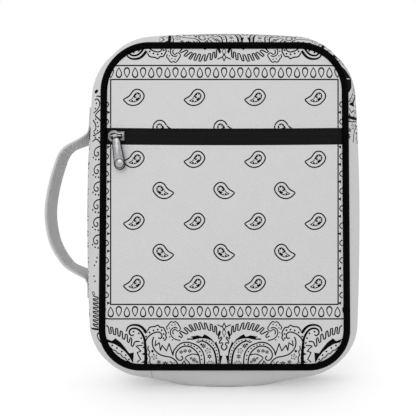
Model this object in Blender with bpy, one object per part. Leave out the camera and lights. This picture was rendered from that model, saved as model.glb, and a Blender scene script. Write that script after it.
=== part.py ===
"""Bible bag: a soft zip-round book bag that stands on its flattened bottom gusset.

Metres, +Z up. The front faces -Y, the spine with the handle is at -X. The origin is in the
middle of the flat patch that the bag stands on. Every piece is a closed solid of its own.
"""
import math

import bpy
import bmesh
from mathutils import Matrix, Vector
from mathutils.geometry import delaunay_2d_cdt, intersect_point_line

# Clearance between pieces that touch
SEAM_GAP = 0.0003

# Front and back panels, measured to the outside of the piping
PANEL_HEIGHT = 0.260
PANEL_WIDTH_TOP = 0.1955
PANEL_WIDTH_BOTTOM = 0.1995
CORNER_RADIUS_TOP = 0.039
CORNER_RADIUS_BOTTOM = 0.033
BAG_DEPTH = 0.060
PIPING_DIAMETER = 0.0053
PANEL_CLOTH = 0.0018
FRONT_CROWN = 0.007
POCKET_ROOM_AT_SEAM = 0.0014
POCKET_WALL_SAG = 0.002
BACK_CROWN = 0.005

# Gusset: how far it swells beyond the piping at half depth
GUSSET_CLOTH = 0.0020
SWELL_TOP = 0.0138
SWELL_RIGHT = 0.0144
SWELL_LEFT = 0.0148
SWELL_BOTTOM = 0.0240
SWELL_CORNER_TOP = 0.0090
SWELL_CORNER_BOTTOM = 0.0105
SEAM_INSET = 0.0008
STANDING_HEIGHT = 0.0175

# Pocket zip across the front
POCKET_ZIP_DROP = 0.0745
POCKET_ZIP_SAG = 0.0012
POCKET_TAPE_HEIGHT = 0.0126
POCKET_TAPE_THICKNESS = 0.0012
POCKET_SLIDER_FROM_EDGE = 0.0135

# Main zip round the top, the right side and the bottom
MAIN_ZIP_BEHIND_MIDDLE = 0.0135
MAIN_TAPE_WIDTH = 0.0110
MAIN_TAPE_THICKNESS = 0.0012
MAIN_TAPE_RECESS = 0.0003
MAIN_SLIDER_FROM_SPINE = 0.012
MAIN_PULL_DROP_DEG = 5.0
SPINE_WRAP_TOP = 0.038
SPINE_WRAP_BOTTOM = 0.034

# Zip sliders and pulls
SLIDER_LENGTH = 0.0130
SLIDER_WIDTH_WIDE = 0.0092
SLIDER_WIDTH_NARROW = 0.0070
SLIDER_PLATE = 0.0012
SLIDER_NECK_LENGTH = 0.0030
SLIDER_NECK_WIDTH = 0.0016
BRIDGE_LENGTH = 0.0100
BRIDGE_BAR = 0.0012
BRIDGE_CLEAR_HEIGHT = 0.0021
PULL_LENGTH = 0.0270
PULL_WIDTH_TOP = 0.0068
PULL_WIDTH_END = 0.0090
PULL_THICKNESS = 0.0012
PULL_EYE_WALL = 0.0007
PULL_EYE_CLEARANCE = 0.0005
PULL_EYE_LENGTH = 0.0032
PULL_TILT_DEG = 9.0
PULL_DISC_DIAMETER = 0.0066
PULL_DISC_RISE = 0.0005
MAIN_PULL_LENGTH = 0.0220

# Handle on the spine
HANDLE_WIDTH = 0.0255
HANDLE_THICKNESS = 0.0026
HANDLE_END_THICKNESS = 0.0016
HANDLE_FRONT_EDGE = 0.0005
HANDLE_TWIST = 0.0026
HANDLE_SPAN = 0.135
HANDLE_REACH = 0.0326
HANDLE_ABOVE_MIDDLE = 0.0028

# Mesh steps
ARC_STEPS = 5
SIDE_STEP = 0.014
PANEL_STEP = 0.017
HANDLE_STEP = 0.0062
PIPING_SIDES = 8
BAR_SIDES = 10

# Values that follow from the sizes above
HALF_DEPTH = BAG_DEPTH / 2
PIPING_RADIUS = PIPING_DIAMETER / 2
HALF_HEIGHT = PANEL_HEIGHT / 2
MIDDLE_Z = STANDING_HEIGHT + HALF_HEIGHT
MEAN_WIDTH = (PANEL_WIDTH_TOP + PANEL_WIDTH_BOTTOM) / 2
PANEL_INSET = PIPING_DIAMETER + SEAM_GAP
GUSSET_SEAM_Y = HALF_DEPTH - PIPING_RADIUS - SEAM_GAP
POCKET_ZIP_Z = MIDDLE_Z + HALF_HEIGHT - POCKET_ZIP_DROP

# The four sides of the outline, clockwise seen from the front, each from corner to corner.
# Fullness says how suddenly the gusset swells along the side: 1 is a sine, 2 is more pointed.
SIDES = (
    # name, faces (degrees), swell in the middle, fullness
    ("top", 90.0, SWELL_TOP, 1.0),
    ("right", 0.0, SWELL_RIGHT, 0.8),
    ("bottom", -90.0, SWELL_BOTTOM, 2.6),
    ("left", 180.0, SWELL_LEFT, 0.8),
)

# Route of the handle strap, from its upper stitched end to its lower one.
HANDLE_ROUTE = (
    # height as a share of half the span, reach as a share of the handle's reach
    (1.19, 0.000),
    (1.06, 0.000),
    (0.94, 0.000),
    (0.86, 0.050),
    (0.77, 0.290),
    (0.70, 0.520),
    (0.61, 0.680),
    (0.44, 0.800),
    (0.23, 0.910),
    (0.02, 0.980),
    (-0.15, 1.000),
    (-0.34, 0.958),
    (-0.51, 0.868),
    (-0.66, 0.707),
    (-0.79, 0.500),
    (-0.88, 0.240),
    (-0.94, 0.050),
    (-1.00, 0.000),
    (-1.09, 0.000),
    (-1.18, 0.000),
)


def clear_scene():
    """Remove whatever objects the file holds."""
    for old in list(bpy.data.objects):
        bpy.data.objects.remove(old, do_unlink=True)


def finish_material(name, colour, roughness, metallic=0.0):
    """A plain Principled finish."""
    material = bpy.data.materials.new(name)
    material.use_nodes = True
    shader = material.node_tree.nodes["Principled BSDF"]
    shader.inputs["Base Color"].default_value = (*colour, 1.0)
    shader.inputs["Roughness"].default_value = roughness
    shader.inputs["Metallic"].default_value = metallic
    return material


def add_object(name, mesh_builder, material, smooth_angle=40.0):
    """Turn a bmesh into a named object with outward faces."""
    bmesh.ops.recalc_face_normals(mesh_builder, faces=mesh_builder.faces)
    mesh = bpy.data.meshes.new(name)
    mesh_builder.to_mesh(mesh)
    mesh_builder.free()
    mesh.materials.append(material)
    mesh.shade_smooth()
    mesh.set_sharp_from_angle(angle=math.radians(smooth_angle))
    new_object = bpy.data.objects.new(name, mesh)
    bpy.context.scene.collection.objects.link(new_object)
    return new_object


# Outline of the panels

def corner_of(angle):
    """Centre and radius of the corner that faces this way."""
    radius = CORNER_RADIUS_TOP if math.sin(angle) > 0 else CORNER_RADIUS_BOTTOM
    centre_x = math.copysign(MEAN_WIDTH / 2 - radius, math.cos(angle))
    centre_z = math.copysign(HALF_HEIGHT - radius, math.sin(angle))
    return Vector((centre_x, centre_z)), radius


def corner_swell(angle):
    return SWELL_CORNER_TOP if math.sin(angle) > 0 else SWELL_CORNER_BOTTOM


def side_runs():
    """For each side: its two half corners, the straight between them and its length."""
    runs = []
    for name, faces, swell, fullness in SIDES:
        facing = math.radians(faces)
        first_angle = facing + math.radians(45)
        last_angle = facing - math.radians(45)
        first_centre, first_radius = corner_of(first_angle)
        last_centre, last_radius = corner_of(last_angle)
        straight = (last_centre - first_centre).length
        if name in ("left", "right"):
            straight = PANEL_HEIGHT - CORNER_RADIUS_TOP - CORNER_RADIUS_BOTTOM
        runs.append({
            "name": name,
            "facing": facing,
            "first": (first_centre, first_radius, corner_swell(first_angle)),
            "last": (last_centre, last_radius, corner_swell(last_angle)),
            "straight": straight,
            "length": first_radius * math.pi / 4 + straight + last_radius * math.pi / 4,
            "swell": swell,
            "fullness": fullness,
        })
    return runs


RUNS = side_runs()
RIM_LENGTH = sum(run["length"] for run in RUNS)
SPINE_START = RIM_LENGTH - RUNS[3]["length"]


def width_share(height):
    """Width at this height over the mean width: the panels widen a little towards the bottom."""
    up = (height + HALF_HEIGHT) / PANEL_HEIGHT
    return (PANEL_WIDTH_BOTTOM + (PANEL_WIDTH_TOP - PANEL_WIDTH_BOTTOM) * up) / MEAN_WIDTH


def rim(along):
    """Point on the outside of the piping, its outward direction and the gusset's swell there.

    Along is the distance round the outline, clockwise from the middle of the top left corner.
    """
    rest = along % RIM_LENGTH
    for run in RUNS:
        if rest <= run["length"] or run is RUNS[-1]:
            break
        rest -= run["length"]
    share = min(rest / run["length"], 1.0)
    first_centre, first_radius, first_swell = run["first"]
    last_centre, last_radius, last_swell = run["last"]
    first_arc = first_radius * math.pi / 4
    facing = run["facing"]
    if rest < first_arc:
        angle = facing + math.pi / 4 - rest / first_radius
        centre, radius = first_centre, first_radius
    elif rest <= first_arc + run["straight"]:
        angle = facing
        step = (rest - first_arc) / run["straight"]
        outward = Vector((math.cos(facing), math.sin(facing)))
        first_edge = first_centre + outward * first_radius
        last_edge = last_centre + outward * last_radius
        centre, radius = first_edge.lerp(last_edge, step), 0.0
    else:
        angle = facing - (rest - first_arc - run["straight"]) / last_radius
        centre, radius = last_centre, last_radius
    outward = Vector((math.cos(angle), math.sin(angle)))
    point = centre + outward * radius
    point.x *= width_share(point.y)
    corner = first_swell + (last_swell - first_swell) * share
    rise = math.sin(math.pi * share) ** run["fullness"]
    return point, outward, corner + (run["swell"] - corner) * rise


def stations(start, end):
    """Distances round the outline where sections stand, from start to end."""
    marks = []
    base = 0.0
    for run in RUNS:
        first_arc = run["first"][1] * math.pi / 4
        last_arc = run["last"][1] * math.pi / 4
        side_steps = max(2, round(run["straight"] / SIDE_STEP))
        marks += [base + first_arc * i / ARC_STEPS for i in range(ARC_STEPS)]
        marks += [base + first_arc + run["straight"] * i / side_steps for i in range(side_steps)]
        marks += [base + run["length"] - last_arc * (1 - i / ARC_STEPS) for i in range(ARC_STEPS)]
        base += run["length"]
    marks += [mark + RIM_LENGTH for mark in marks]
    margin = SIDE_STEP / 8
    inner = [mark for mark in marks if start + margin < mark < end - margin]
    return [start] + inner + [end]


def rim_outline(inset):
    """Closed outline (x, z) lying inside the piping's outer edge by the inset."""
    points = []
    for along in stations(0.0, RIM_LENGTH)[:-1]:
        point, outward, _ = rim(along)
        points.append(Vector((point.x - outward.x * inset, MIDDLE_Z + point.y - outward.y * inset)))
    return points


# Gusset

def gusset_offset(depth_y, swell):
    """How far the gusset's outer face lies beyond the piping's outer edge."""
    across = depth_y / GUSSET_SEAM_Y
    return -SEAM_INSET + (swell + SEAM_INSET) * (1 - across * across)


def gusset_point(along, depth_y, sink, floor):
    """Point of the gusset, sunk below its outer face, and never lower than the floor."""
    point, outward, swell = rim(along)
    out = gusset_offset(depth_y, swell) - sink
    height = MIDDLE_Z + point.y + outward.y * out
    return Vector((point.x + outward.x * out, depth_y, max(height, floor)))


def band_section(along, front_y, back_y, steps, sink, thickness):
    """Cross-section of a gusset band: its outer face, then back along its inner face."""
    rows = [front_y + (back_y - front_y) * i / steps for i in range(steps + 1)]
    outer = [gusset_point(along, y, sink, 0.0) for y in rows]
    inner = [gusset_point(along, y, sink + thickness, thickness) for y in reversed(rows)]
    return outer + inner


def loft(sections, closed):
    """Skin a row of like sections into one closed solid."""
    builder = bmesh.new()
    rings = [[builder.verts.new(point) for point in section] for section in sections]
    count = len(rings[0])
    pairs = list(zip(rings, rings[1:]))
    if closed:
        pairs.append((rings[-1], rings[0]))
    for ring, following in pairs:
        for i in range(count):
            j = (i + 1) % count
            builder.faces.new((ring[i], ring[j], following[j], following[i]))
    if not closed:
        builder.faces.new(rings[0])
        builder.faces.new(reversed(rings[-1]))
    return builder


def gusset_band(name, start, end, front_y, back_y, steps, sink, thickness, material):
    sections = [
        band_section(along, front_y, back_y, steps, sink, thickness)
        for along in stations(start, end)
    ]
    return add_object(name, loft(sections, closed=False), material)


# Panels

def pillow(x, z):
    """Share of the crown at a place on a panel: none at the piping, all in the middle."""
    half_width = MEAN_WIDTH / 2 - PANEL_INSET
    half_height = HALF_HEIGHT - PANEL_INSET
    across = min(abs(x) / half_width, 1.0)
    up = min(abs(z - MIDDLE_Z) / half_height, 1.0)
    return (1 - across * across) * (1 - up * up)


def front_face_y(x, z):
    """Outer face of the front panels."""
    return -HALF_DEPTH - PANEL_CLOTH - FRONT_CROWN * pillow(x, z)


def pocket_wall_y(x, z):
    """Front face of the wall behind the pocket."""
    return -HALF_DEPTH + POCKET_ROOM_AT_SEAM + POCKET_WALL_SAG * pillow(x, z)


def back_inner_y(x, z):
    """Inner face of the back panel."""
    return HALF_DEPTH - PANEL_CLOTH / 2 + BACK_CROWN * pillow(x, z)


def zip_sag(x):
    """How far the pocket zip hangs below a straight line."""
    across = min(abs(x) / (MEAN_WIDTH / 2 - PANEL_INSET), 1.0)
    return POCKET_ZIP_SAG * (1 - across * across)


def clip_outline(points, level, keep_above):
    """The part of an outline above or below a level."""
    kept = []
    for here, after in zip(points, points[1:] + points[:1]):
        here_in = (here.y > level) == keep_above
        after_in = (after.y > level) == keep_above
        if here_in:
            kept.append(here)
        if here_in != after_in:
            kept.append(here.lerp(after, (level - here.y) / (after.y - here.y)))
    return kept


def refine_outline(points, step):
    """Split the long straights of an outline."""
    fine = []
    for here, after in zip(points, points[1:] + points[:1]):
        pieces = max(1, math.ceil((after - here).length / step))
        fine += [here.lerp(after, i / pieces) for i in range(pieces)]
    return fine


def slice_outline(low, high):
    """Panel outline between two levels, with its cut edges sagging as the pocket zip does."""
    points = rim_outline(PANEL_INSET)
    if low is not None:
        points = clip_outline(points, low, keep_above=True)
    if high is not None:
        points = clip_outline(points, high, keep_above=False)
    points = refine_outline(points, PANEL_STEP)
    sagging = []
    for point in points:
        on_cut = any(level is not None and abs(point.y - level) < 1e-6 for level in (low, high))
        sagging.append(Vector((point.x, point.y - zip_sag(point.x))) if on_cut else point)
    return sagging


def inside_outline(spot, points, margin):
    """Whether a spot lies inside an outline and clear of its edges."""
    crossings = 0
    for here, after in zip(points, points[1:] + points[:1]):
        nearest, share = intersect_point_line(spot, here, after)
        nearest = here.lerp(after, min(max(share, 0.0), 1.0))
        if (nearest - spot).length < margin:
            return False
        if (here.y > spot.y) != (after.y > spot.y):
            crossing_x = here.x + (after.x - here.x) * (spot.y - here.y) / (after.y - here.y)
            crossings += crossing_x > spot.x
    return crossings % 2 == 1


def fill_outline(points):
    """Triangulate an outline with a grid of points inside it."""
    spots = list(points)
    low_x = min(point.x for point in points)
    low_z = min(point.y for point in points)
    columns = math.ceil((max(point.x for point in points) - low_x) / PANEL_STEP)
    rows = math.ceil((max(point.y for point in points) - low_z) / PANEL_STEP)
    for row in range(rows + 1):
        for column in range(columns + 1):
            shift = 0.5 if row % 2 else 0.0
            spot = Vector((low_x + (column + shift) * PANEL_STEP, low_z + (row + 0.5) * PANEL_STEP))
            if inside_outline(spot, points, PANEL_STEP * 0.45):
                spots.append(spot)
    count = len(points)
    edges = [(i, (i + 1) % count) for i in range(count)]
    filled = delaunay_2d_cdt(spots, edges, [list(range(count))], 1, 1e-7)
    return filled[0], filled[2]


def sheet(outline, face_y, thickness):
    """A cloth sheet over an outline: its outer face at face_y, its thickness along +Y."""
    builder = bmesh.new()
    spots, triangles = fill_outline(outline)
    near = [builder.verts.new((spot.x, face_y(spot.x, spot.y), spot.y)) for spot in spots]
    far = [builder.verts.new((spot.x, face_y(spot.x, spot.y) + thickness, spot.y)) for spot in spots]
    uses = {}
    for triangle in triangles:
        builder.faces.new([near[i] for i in triangle])
        builder.faces.new([far[i] for i in reversed(triangle)])
        for i, j in zip(triangle, triangle[1:] + triangle[:1]):
            key = (min(i, j), max(i, j))
            uses[key] = uses.get(key, 0) + 1
    for (i, j), count in uses.items():
        if count == 1:
            builder.faces.new((near[i], near[j], far[j], far[i]))
    return builder


# Piping

def piping(name, centre_y, material):
    """Round padded piping along the outline."""
    sections = []
    for along in stations(0.0, RIM_LENGTH)[:-1]:
        point, outward, _ = rim(along)
        middle = point - outward * PIPING_RADIUS
        ring = []
        for i in range(PIPING_SIDES):
            turn = math.tau * (i + 0.5) / PIPING_SIDES
            out = math.cos(turn) * PIPING_RADIUS
            ring.append(Vector((
                middle.x + outward.x * out,
                centre_y + math.sin(turn) * PIPING_RADIUS,
                MIDDLE_Z + middle.y + outward.y * out,
            )))
        sections.append(ring)
    return add_object(name, loft(sections, closed=True), material, smooth_angle=60.0)


# Handle

def spine_face_x(height, depth_y):
    """Outer face of the spine at a height above the middle of the panels."""
    run = RUNS[3]
    below = run["first"][0].y
    along = SPINE_START + run["first"][1] * math.pi / 4 + (height - below)
    return gusset_point(along, depth_y, 0.0, 0.0).x


def smooth_route(points, step):
    """Points about a step apart on a smooth curve through the given ones."""
    ends = [points[0] * 2 - points[1]] + list(points) + [points[-1] * 2 - points[-2]]
    smooth = [points[0]]
    for before, here, after, beyond in zip(ends, ends[1:], ends[2:], ends[3:]):
        pieces = max(1, round((after - here).length / step))
        for i in range(1, pieces + 1):
            t = i / pieces
            smooth.append(
                ((here * 2)
                 + (after - before) * t
                 + (before * 2 - here * 5 + after * 4 - beyond) * t ** 2
                 + (here * 3 - before - after * 3 + beyond) * t ** 3) / 2
            )
    return smooth


def handle_strap(material):
    """Flat strap that lies on the spine at both ends and arches away between them."""
    half_span = HANDLE_SPAN / 2
    route = smooth_route([
        Vector((reach * HANDLE_REACH, HANDLE_ABOVE_MIDDLE + share * half_span))
        for share, reach in HANDLE_ROUTE
    ], HANDLE_STEP)
    widths = [HANDLE_FRONT_EDGE + HANDLE_WIDTH * i / 4 for i in range(5)]
    sections = []
    for i, point in enumerate(route):
        ahead = route[min(i + 1, len(route) - 1)]
        behind = route[max(i - 1, 0)]
        along = (ahead - behind).normalized()
        normal = Vector((-along.y, along.x))
        if normal.x < 0:
            normal = -normal
        height = point.y
        crest = min(spine_face_x(height, y) for y in widths)
        lift = min(1.0, point.x / (HANDLE_REACH * 0.5))
        half_thick = (HANDLE_END_THICKNESS + (HANDLE_THICKNESS - HANDLE_END_THICKNESS) * lift) / 2
        outer, inner = [], []
        for depth_y in widths:
            drop = (spine_face_x(height, depth_y) - crest) * (1 - lift)
            from_middle = (depth_y - widths[2]) / HANDLE_WIDTH
            twist = HANDLE_TWIST * from_middle * lift
            seat_x = crest - SEAM_GAP - half_thick - point.x + drop + twist
            centre = Vector((seat_x, depth_y, MIDDLE_Z + height))
            shift = Vector((-normal.x * half_thick, 0.0, normal.y * half_thick))
            outer.append(centre + shift)
            inner.append(centre - shift)
        sections.append(outer + inner[::-1])
    return add_object("handle_strap", loft(sections, closed=False), material)


# Zip sliders and pulls, built in a frame of their own: X along the zip, Z across it, Y out of it

def prism(builder, outline, low, high):
    """Extrude an (x, z) outline along Y."""
    near = [builder.verts.new((x, low, z)) for x, z in outline]
    far = [builder.verts.new((x, high, z)) for x, z in outline]
    count = len(outline)
    builder.faces.new(near)
    builder.faces.new(far[::-1])
    for i in range(count):
        j = (i + 1) % count
        builder.faces.new((near[i], far[i], far[j], near[j]))


def bar_along(builder, outline, low, high):
    """Extrude a (y, z) outline along X."""
    near = [builder.verts.new((low, y, z)) for y, z in outline]
    far = [builder.verts.new((high, y, z)) for y, z in outline]
    count = len(outline)
    builder.faces.new(near)
    builder.faces.new(far[::-1])
    for i in range(count):
        j = (i + 1) % count
        builder.faces.new((near[i], far[i], far[j], near[j]))


def rectangle(half_x, half_z, centre_x=0.0):
    return [
        (centre_x - half_x, -half_z), (centre_x + half_x, -half_z),
        (centre_x + half_x, half_z), (centre_x - half_x, half_z),
    ]


def slider_outline():
    """Plan of a slider plate: wide shoulders at -X, a square open end at +X."""
    half = SLIDER_LENGTH / 2
    wide = SLIDER_WIDTH_WIDE / 2
    narrow = SLIDER_WIDTH_NARROW / 2
    return [
        (-half, -wide * 0.45), (-half * 0.66, -wide), (-half * 0.1, -wide), (half * 0.35, -narrow),
        (half, -narrow), (half, narrow), (half * 0.35, narrow), (-half * 0.1, wide),
        (-half * 0.66, wide), (-half, wide * 0.45),
    ]


def circle(radius, sides, centre=(0.0, 0.0)):
    """Points of a round outline."""
    return [
        (centre[0] + radius * math.cos(math.tau * i / sides),
         centre[1] + radius * math.sin(math.tau * i / sides))
        for i in range(sides)
    ]


def join_bodies(name, builders, material, place):
    """Union of closed bodies, set in place."""
    objects = []
    for number, builder in enumerate(builders):
        builder.transform(place)
        objects.append(add_object(f"{name}_{number}", builder, material))
    whole = objects[0]
    whole.name = name
    for other in objects[1:]:
        union = whole.modifiers.new(other.name, "BOOLEAN")
        union.operation = "UNION"
        union.object = other
        other.hide_render = True
        other.display_type = "WIRE"
    return whole


BRIDGE_AXIS_OUT = SEAM_GAP + SLIDER_PLATE + BRIDGE_CLEAR_HEIGHT + BRIDGE_BAR / 2


def slider_bodies(neck_depth):
    """Front plate, bridge bar with its two posts, and the neck through the tape."""
    plate = bmesh.new()
    prism(plate, slider_outline(), SEAM_GAP, SEAM_GAP + SLIDER_PLATE)
    bodies = [plate]
    half = BRIDGE_LENGTH / 2
    bar = bmesh.new()
    bar_along(bar, circle(BRIDGE_BAR / 2, BAR_SIDES, (BRIDGE_AXIS_OUT, 0.0)), -half, half)
    bodies.append(bar)
    foot = SEAM_GAP + SLIDER_PLATE / 2
    for side in (-1, 1):
        post = bmesh.new()
        middle = side * (half - BRIDGE_BAR / 2)
        reach = BRIDGE_AXIS_OUT + BRIDGE_BAR * 0.62
        prism(post, rectangle(BRIDGE_BAR * 0.62, BRIDGE_BAR * 0.62, middle), foot, reach)
        bodies.append(post)
    if neck_depth > 0:
        neck = bmesh.new()
        low = -neck_depth - SEAM_GAP * 2 - SLIDER_PLATE / 2
        prism(neck, rectangle(SLIDER_NECK_LENGTH / 2, SLIDER_NECK_WIDTH / 2), low, foot)
        bodies.append(neck)
        back = bmesh.new()
        back_top = -neck_depth - SEAM_GAP
        prism(back, slider_outline(), back_top - SLIDER_PLATE * 0.8, back_top)
        bodies.append(back)
    return bodies


def pull_outline(length, width_top, width_end):
    """Plan of a pull tab that hangs towards -Z from its eye, with a round end."""
    half_top = width_top / 2
    radius = width_end / 2
    end_centre = -(length - radius)
    shoulder = -(BRIDGE_BAR / 2 + PULL_EYE_CLEARANCE + PULL_EYE_WALL)
    left = [(-half_top * 0.6, shoulder * 0.9), (-half_top, shoulder * 1.6)]
    steps = 8
    arc = [
        (-radius * math.cos(math.pi * i / steps), end_centre - radius * math.sin(math.pi * i / steps))
        for i in range(steps + 1)
    ]
    right = [(half_top, shoulder * 1.6), (half_top * 0.6, shoulder * 0.9)]
    return left + arc + right


def pull_bodies():
    """Tab, rolled eye and the round raised disc near the tab's end."""
    tab = bmesh.new()
    prism(
        tab, pull_outline(PULL_LENGTH, PULL_WIDTH_TOP, PULL_WIDTH_END),
        BRIDGE_AXIS_OUT - PULL_THICKNESS / 2, BRIDGE_AXIS_OUT + PULL_THICKNESS / 2,
    )
    hole = BRIDGE_BAR / 2 + PULL_EYE_CLEARANCE
    eye = bmesh.new()
    ring_out = circle(hole + PULL_EYE_WALL, BAR_SIDES, (BRIDGE_AXIS_OUT, 0.0))
    ring_in = circle(hole, BAR_SIDES, (BRIDGE_AXIS_OUT, 0.0))
    half = PULL_EYE_LENGTH / 2
    loops = []
    for outline, x in ((ring_out, -half), (ring_out, half), (ring_in, half), (ring_in, -half)):
        loops.append([eye.verts.new((x, y, z)) for y, z in outline])
    for loop, following in zip(loops, loops[1:] + loops[:1]):
        for i in range(BAR_SIDES):
            j = (i + 1) % BAR_SIDES
            eye.faces.new((loop[i], loop[j], following[j], following[i]))
    disc = bmesh.new()
    centre = (0.0, -(PULL_LENGTH - PULL_WIDTH_END / 2 - PULL_DISC_RISE))
    prism(
        disc, circle(PULL_DISC_DIAMETER / 2, 16, centre),
        BRIDGE_AXIS_OUT, BRIDGE_AXIS_OUT + PULL_THICKNESS / 2 + PULL_DISC_RISE,
    )
    return [tab, eye, disc]


def place_matrix(origin, along, out, across):
    """Matrix that carries the zip frame's X, Y and Z to these directions."""
    place = Matrix.Identity(4)
    for column, direction in enumerate((along, out, across)):
        place.col[column] = (*direction, 0.0)
    place.col[3] = (*origin, 1.0)
    return place


def frame_on_front(x, z):
    """Place on the pocket tape: X along the zip, Y out of the bag, Z up."""
    step = SLIDER_LENGTH / 2
    slope = (tape_face_y(x + step, z) - tape_face_y(x - step, z)) / (2 * step)
    along = Vector((1.0, slope, 0.0)).normalized()
    up = Vector((0.0, 0.0, 1.0))
    return place_matrix((x, tape_face_y(x, z), z), along, along.cross(up), up)


def tape_face_y(x, z):
    """Outer face of the pocket zip tape, level with the panels' outer faces."""
    return front_face_y(x, z) + SEAM_GAP


def pocket_slider_place():
    x = -(MEAN_WIDTH / 2 * width_share(POCKET_ZIP_Z - MIDDLE_Z)) + POCKET_SLIDER_FROM_EDGE
    return frame_on_front(x, POCKET_ZIP_Z - zip_sag(x))


def main_slider_place():
    """Place on the main zip: X along it, Y out of the bag, Z towards the back."""
    mark = SPINE_WRAP_TOP + MAIN_SLIDER_FROM_SPINE
    middle_y = MAIN_ZIP_BEHIND_MIDDLE
    step = SLIDER_LENGTH / 2
    half_tape = MAIN_TAPE_WIDTH / 2
    here = gusset_point(mark, middle_y, MAIN_TAPE_RECESS, 0.0)
    ahead = gusset_point(mark + step, middle_y, MAIN_TAPE_RECESS, 0.0)
    behind = gusset_point(mark - step, middle_y, MAIN_TAPE_RECESS, 0.0)
    back = gusset_point(mark, middle_y + half_tape, MAIN_TAPE_RECESS, 0.0)
    front = gusset_point(mark, middle_y - half_tape, MAIN_TAPE_RECESS, 0.0)
    along = (ahead - behind).normalized()
    out = along.cross(back - front).normalized()
    return place_matrix(here, along, out, out.cross(along))


def cut_slot(target, place, half_x, half_z, depth):
    """Cut a slot through a tape for the slider's neck."""
    builder = bmesh.new()
    prism(builder, rectangle(half_x, half_z), -depth, depth)
    builder.transform(place)
    cutter = add_object(target.name + "_slot", builder, target.data.materials[0])
    cutter.hide_render = True
    cutter.display_type = "WIRE"
    cut = target.modifiers.new("slot", "BOOLEAN")
    cut.operation = "DIFFERENCE"
    cut.object = cutter


def build():
    clear_scene()
    printed = finish_material("printed_cloth", (0.66, 0.66, 0.66), 0.9)
    plain = finish_material("plain_cloth", (0.62, 0.62, 0.62), 0.9)
    black = finish_material("black_piping", (0.01, 0.01, 0.01), 0.8)
    tape = finish_material("zip_tape", (0.015, 0.015, 0.015), 0.85)
    nickel = finish_material("slider_metal", (0.42, 0.42, 0.43), 0.35, 1.0)

    # Front: two printed panels with the pocket zip between them, and the wall behind
    tape_low = POCKET_ZIP_Z - POCKET_TAPE_HEIGHT / 2
    tape_high = POCKET_ZIP_Z + POCKET_TAPE_HEIGHT / 2
    upper = slice_outline(tape_high + SEAM_GAP, None)
    add_object("front_top_panel", sheet(upper, front_face_y, PANEL_CLOTH), printed)
    lower = slice_outline(None, tape_low - SEAM_GAP)
    add_object("pocket_panel", sheet(lower, front_face_y, PANEL_CLOTH), printed)
    strip = slice_outline(tape_low, tape_high)
    pocket_tape = add_object(
        "pocket_zip_tape", sheet(strip, tape_face_y, POCKET_TAPE_THICKNESS), tape)
    whole = slice_outline(None, None)
    add_object("pocket_back_wall", sheet(whole, pocket_wall_y, PANEL_CLOTH), plain)

    # Back
    add_object("back_panel", sheet(whole, back_inner_y, PANEL_CLOTH), printed)
    piping("front_piping", -HALF_DEPTH, black)
    piping("back_piping", HALF_DEPTH, black)

    # Gusset: two bands and the main zip round three sides, and the spine on the fourth
    tape_front = MAIN_ZIP_BEHIND_MIDDLE - MAIN_TAPE_WIDTH / 2
    tape_back = MAIN_ZIP_BEHIND_MIDDLE + MAIN_TAPE_WIDTH / 2
    start = SPINE_WRAP_TOP + SEAM_GAP / 2
    end = SPINE_START - SPINE_WRAP_BOTTOM - SEAM_GAP / 2
    gusset_band("gusset_front_band", start, end, -GUSSET_SEAM_Y, tape_front - SEAM_GAP,
                6, 0.0, GUSSET_CLOTH, printed)
    gusset_band("gusset_back_band", start, end, tape_back + SEAM_GAP, GUSSET_SEAM_Y,
                2, 0.0, GUSSET_CLOTH, plain)
    gusset_band("main_zip_tape", start, end, tape_front, tape_back,
                2, MAIN_TAPE_RECESS, MAIN_TAPE_THICKNESS, tape)
    gusset_band("spine_panel", end + SEAM_GAP, RIM_LENGTH + start - SEAM_GAP,
                -GUSSET_SEAM_Y, GUSSET_SEAM_Y, 10, 0.0, GUSSET_CLOTH, printed)
    handle_strap(plain)

    # Pocket slider and its hanging pull
    place = pocket_slider_place()
    join_bodies("pocket_zip_slider", slider_bodies(POCKET_TAPE_THICKNESS), nickel, place)
    neck_room = SEAM_GAP
    cut_slot(pocket_tape, place, SLIDER_NECK_LENGTH / 2 + neck_room,
             SLIDER_NECK_WIDTH / 2 + neck_room, POCKET_TAPE_THICKNESS * 3)
    axis_place = Matrix.Translation((0.0, BRIDGE_AXIS_OUT, 0.0))
    tilt = Matrix.Rotation(math.radians(-PULL_TILT_DEG), 4, "Y")
    hang = place @ axis_place @ tilt @ axis_place.inverted()
    join_bodies("pocket_zip_pull", pull_bodies(), nickel, hang)

    # Main slider with its pull lying along the zip, one plain piece
    main_bodies = slider_bodies(0.0)
    lying = bmesh.new()
    outline = pull_outline(MAIN_PULL_LENGTH, PULL_WIDTH_TOP, PULL_WIDTH_END)
    prism(lying, [(-z, x) for x, z in outline], -PULL_THICKNESS / 2, PULL_THICKNESS / 2)
    drop = Matrix.Rotation(math.radians(-MAIN_PULL_DROP_DEG), 4, "Z")
    lying.transform(Matrix.Translation((0.0, BRIDGE_AXIS_OUT, 0.0)) @ drop)
    main_bodies.append(lying)
    join_bodies("main_zip_slider", main_bodies, nickel, main_slider_place())


build()
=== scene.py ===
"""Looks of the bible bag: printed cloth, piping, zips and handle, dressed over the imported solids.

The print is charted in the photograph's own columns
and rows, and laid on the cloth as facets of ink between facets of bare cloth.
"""

import math

import bmesh
import bpy
from mathutils import Matrix, Vector
from mathutils.geometry import delaunay_2d_cdt


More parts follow.
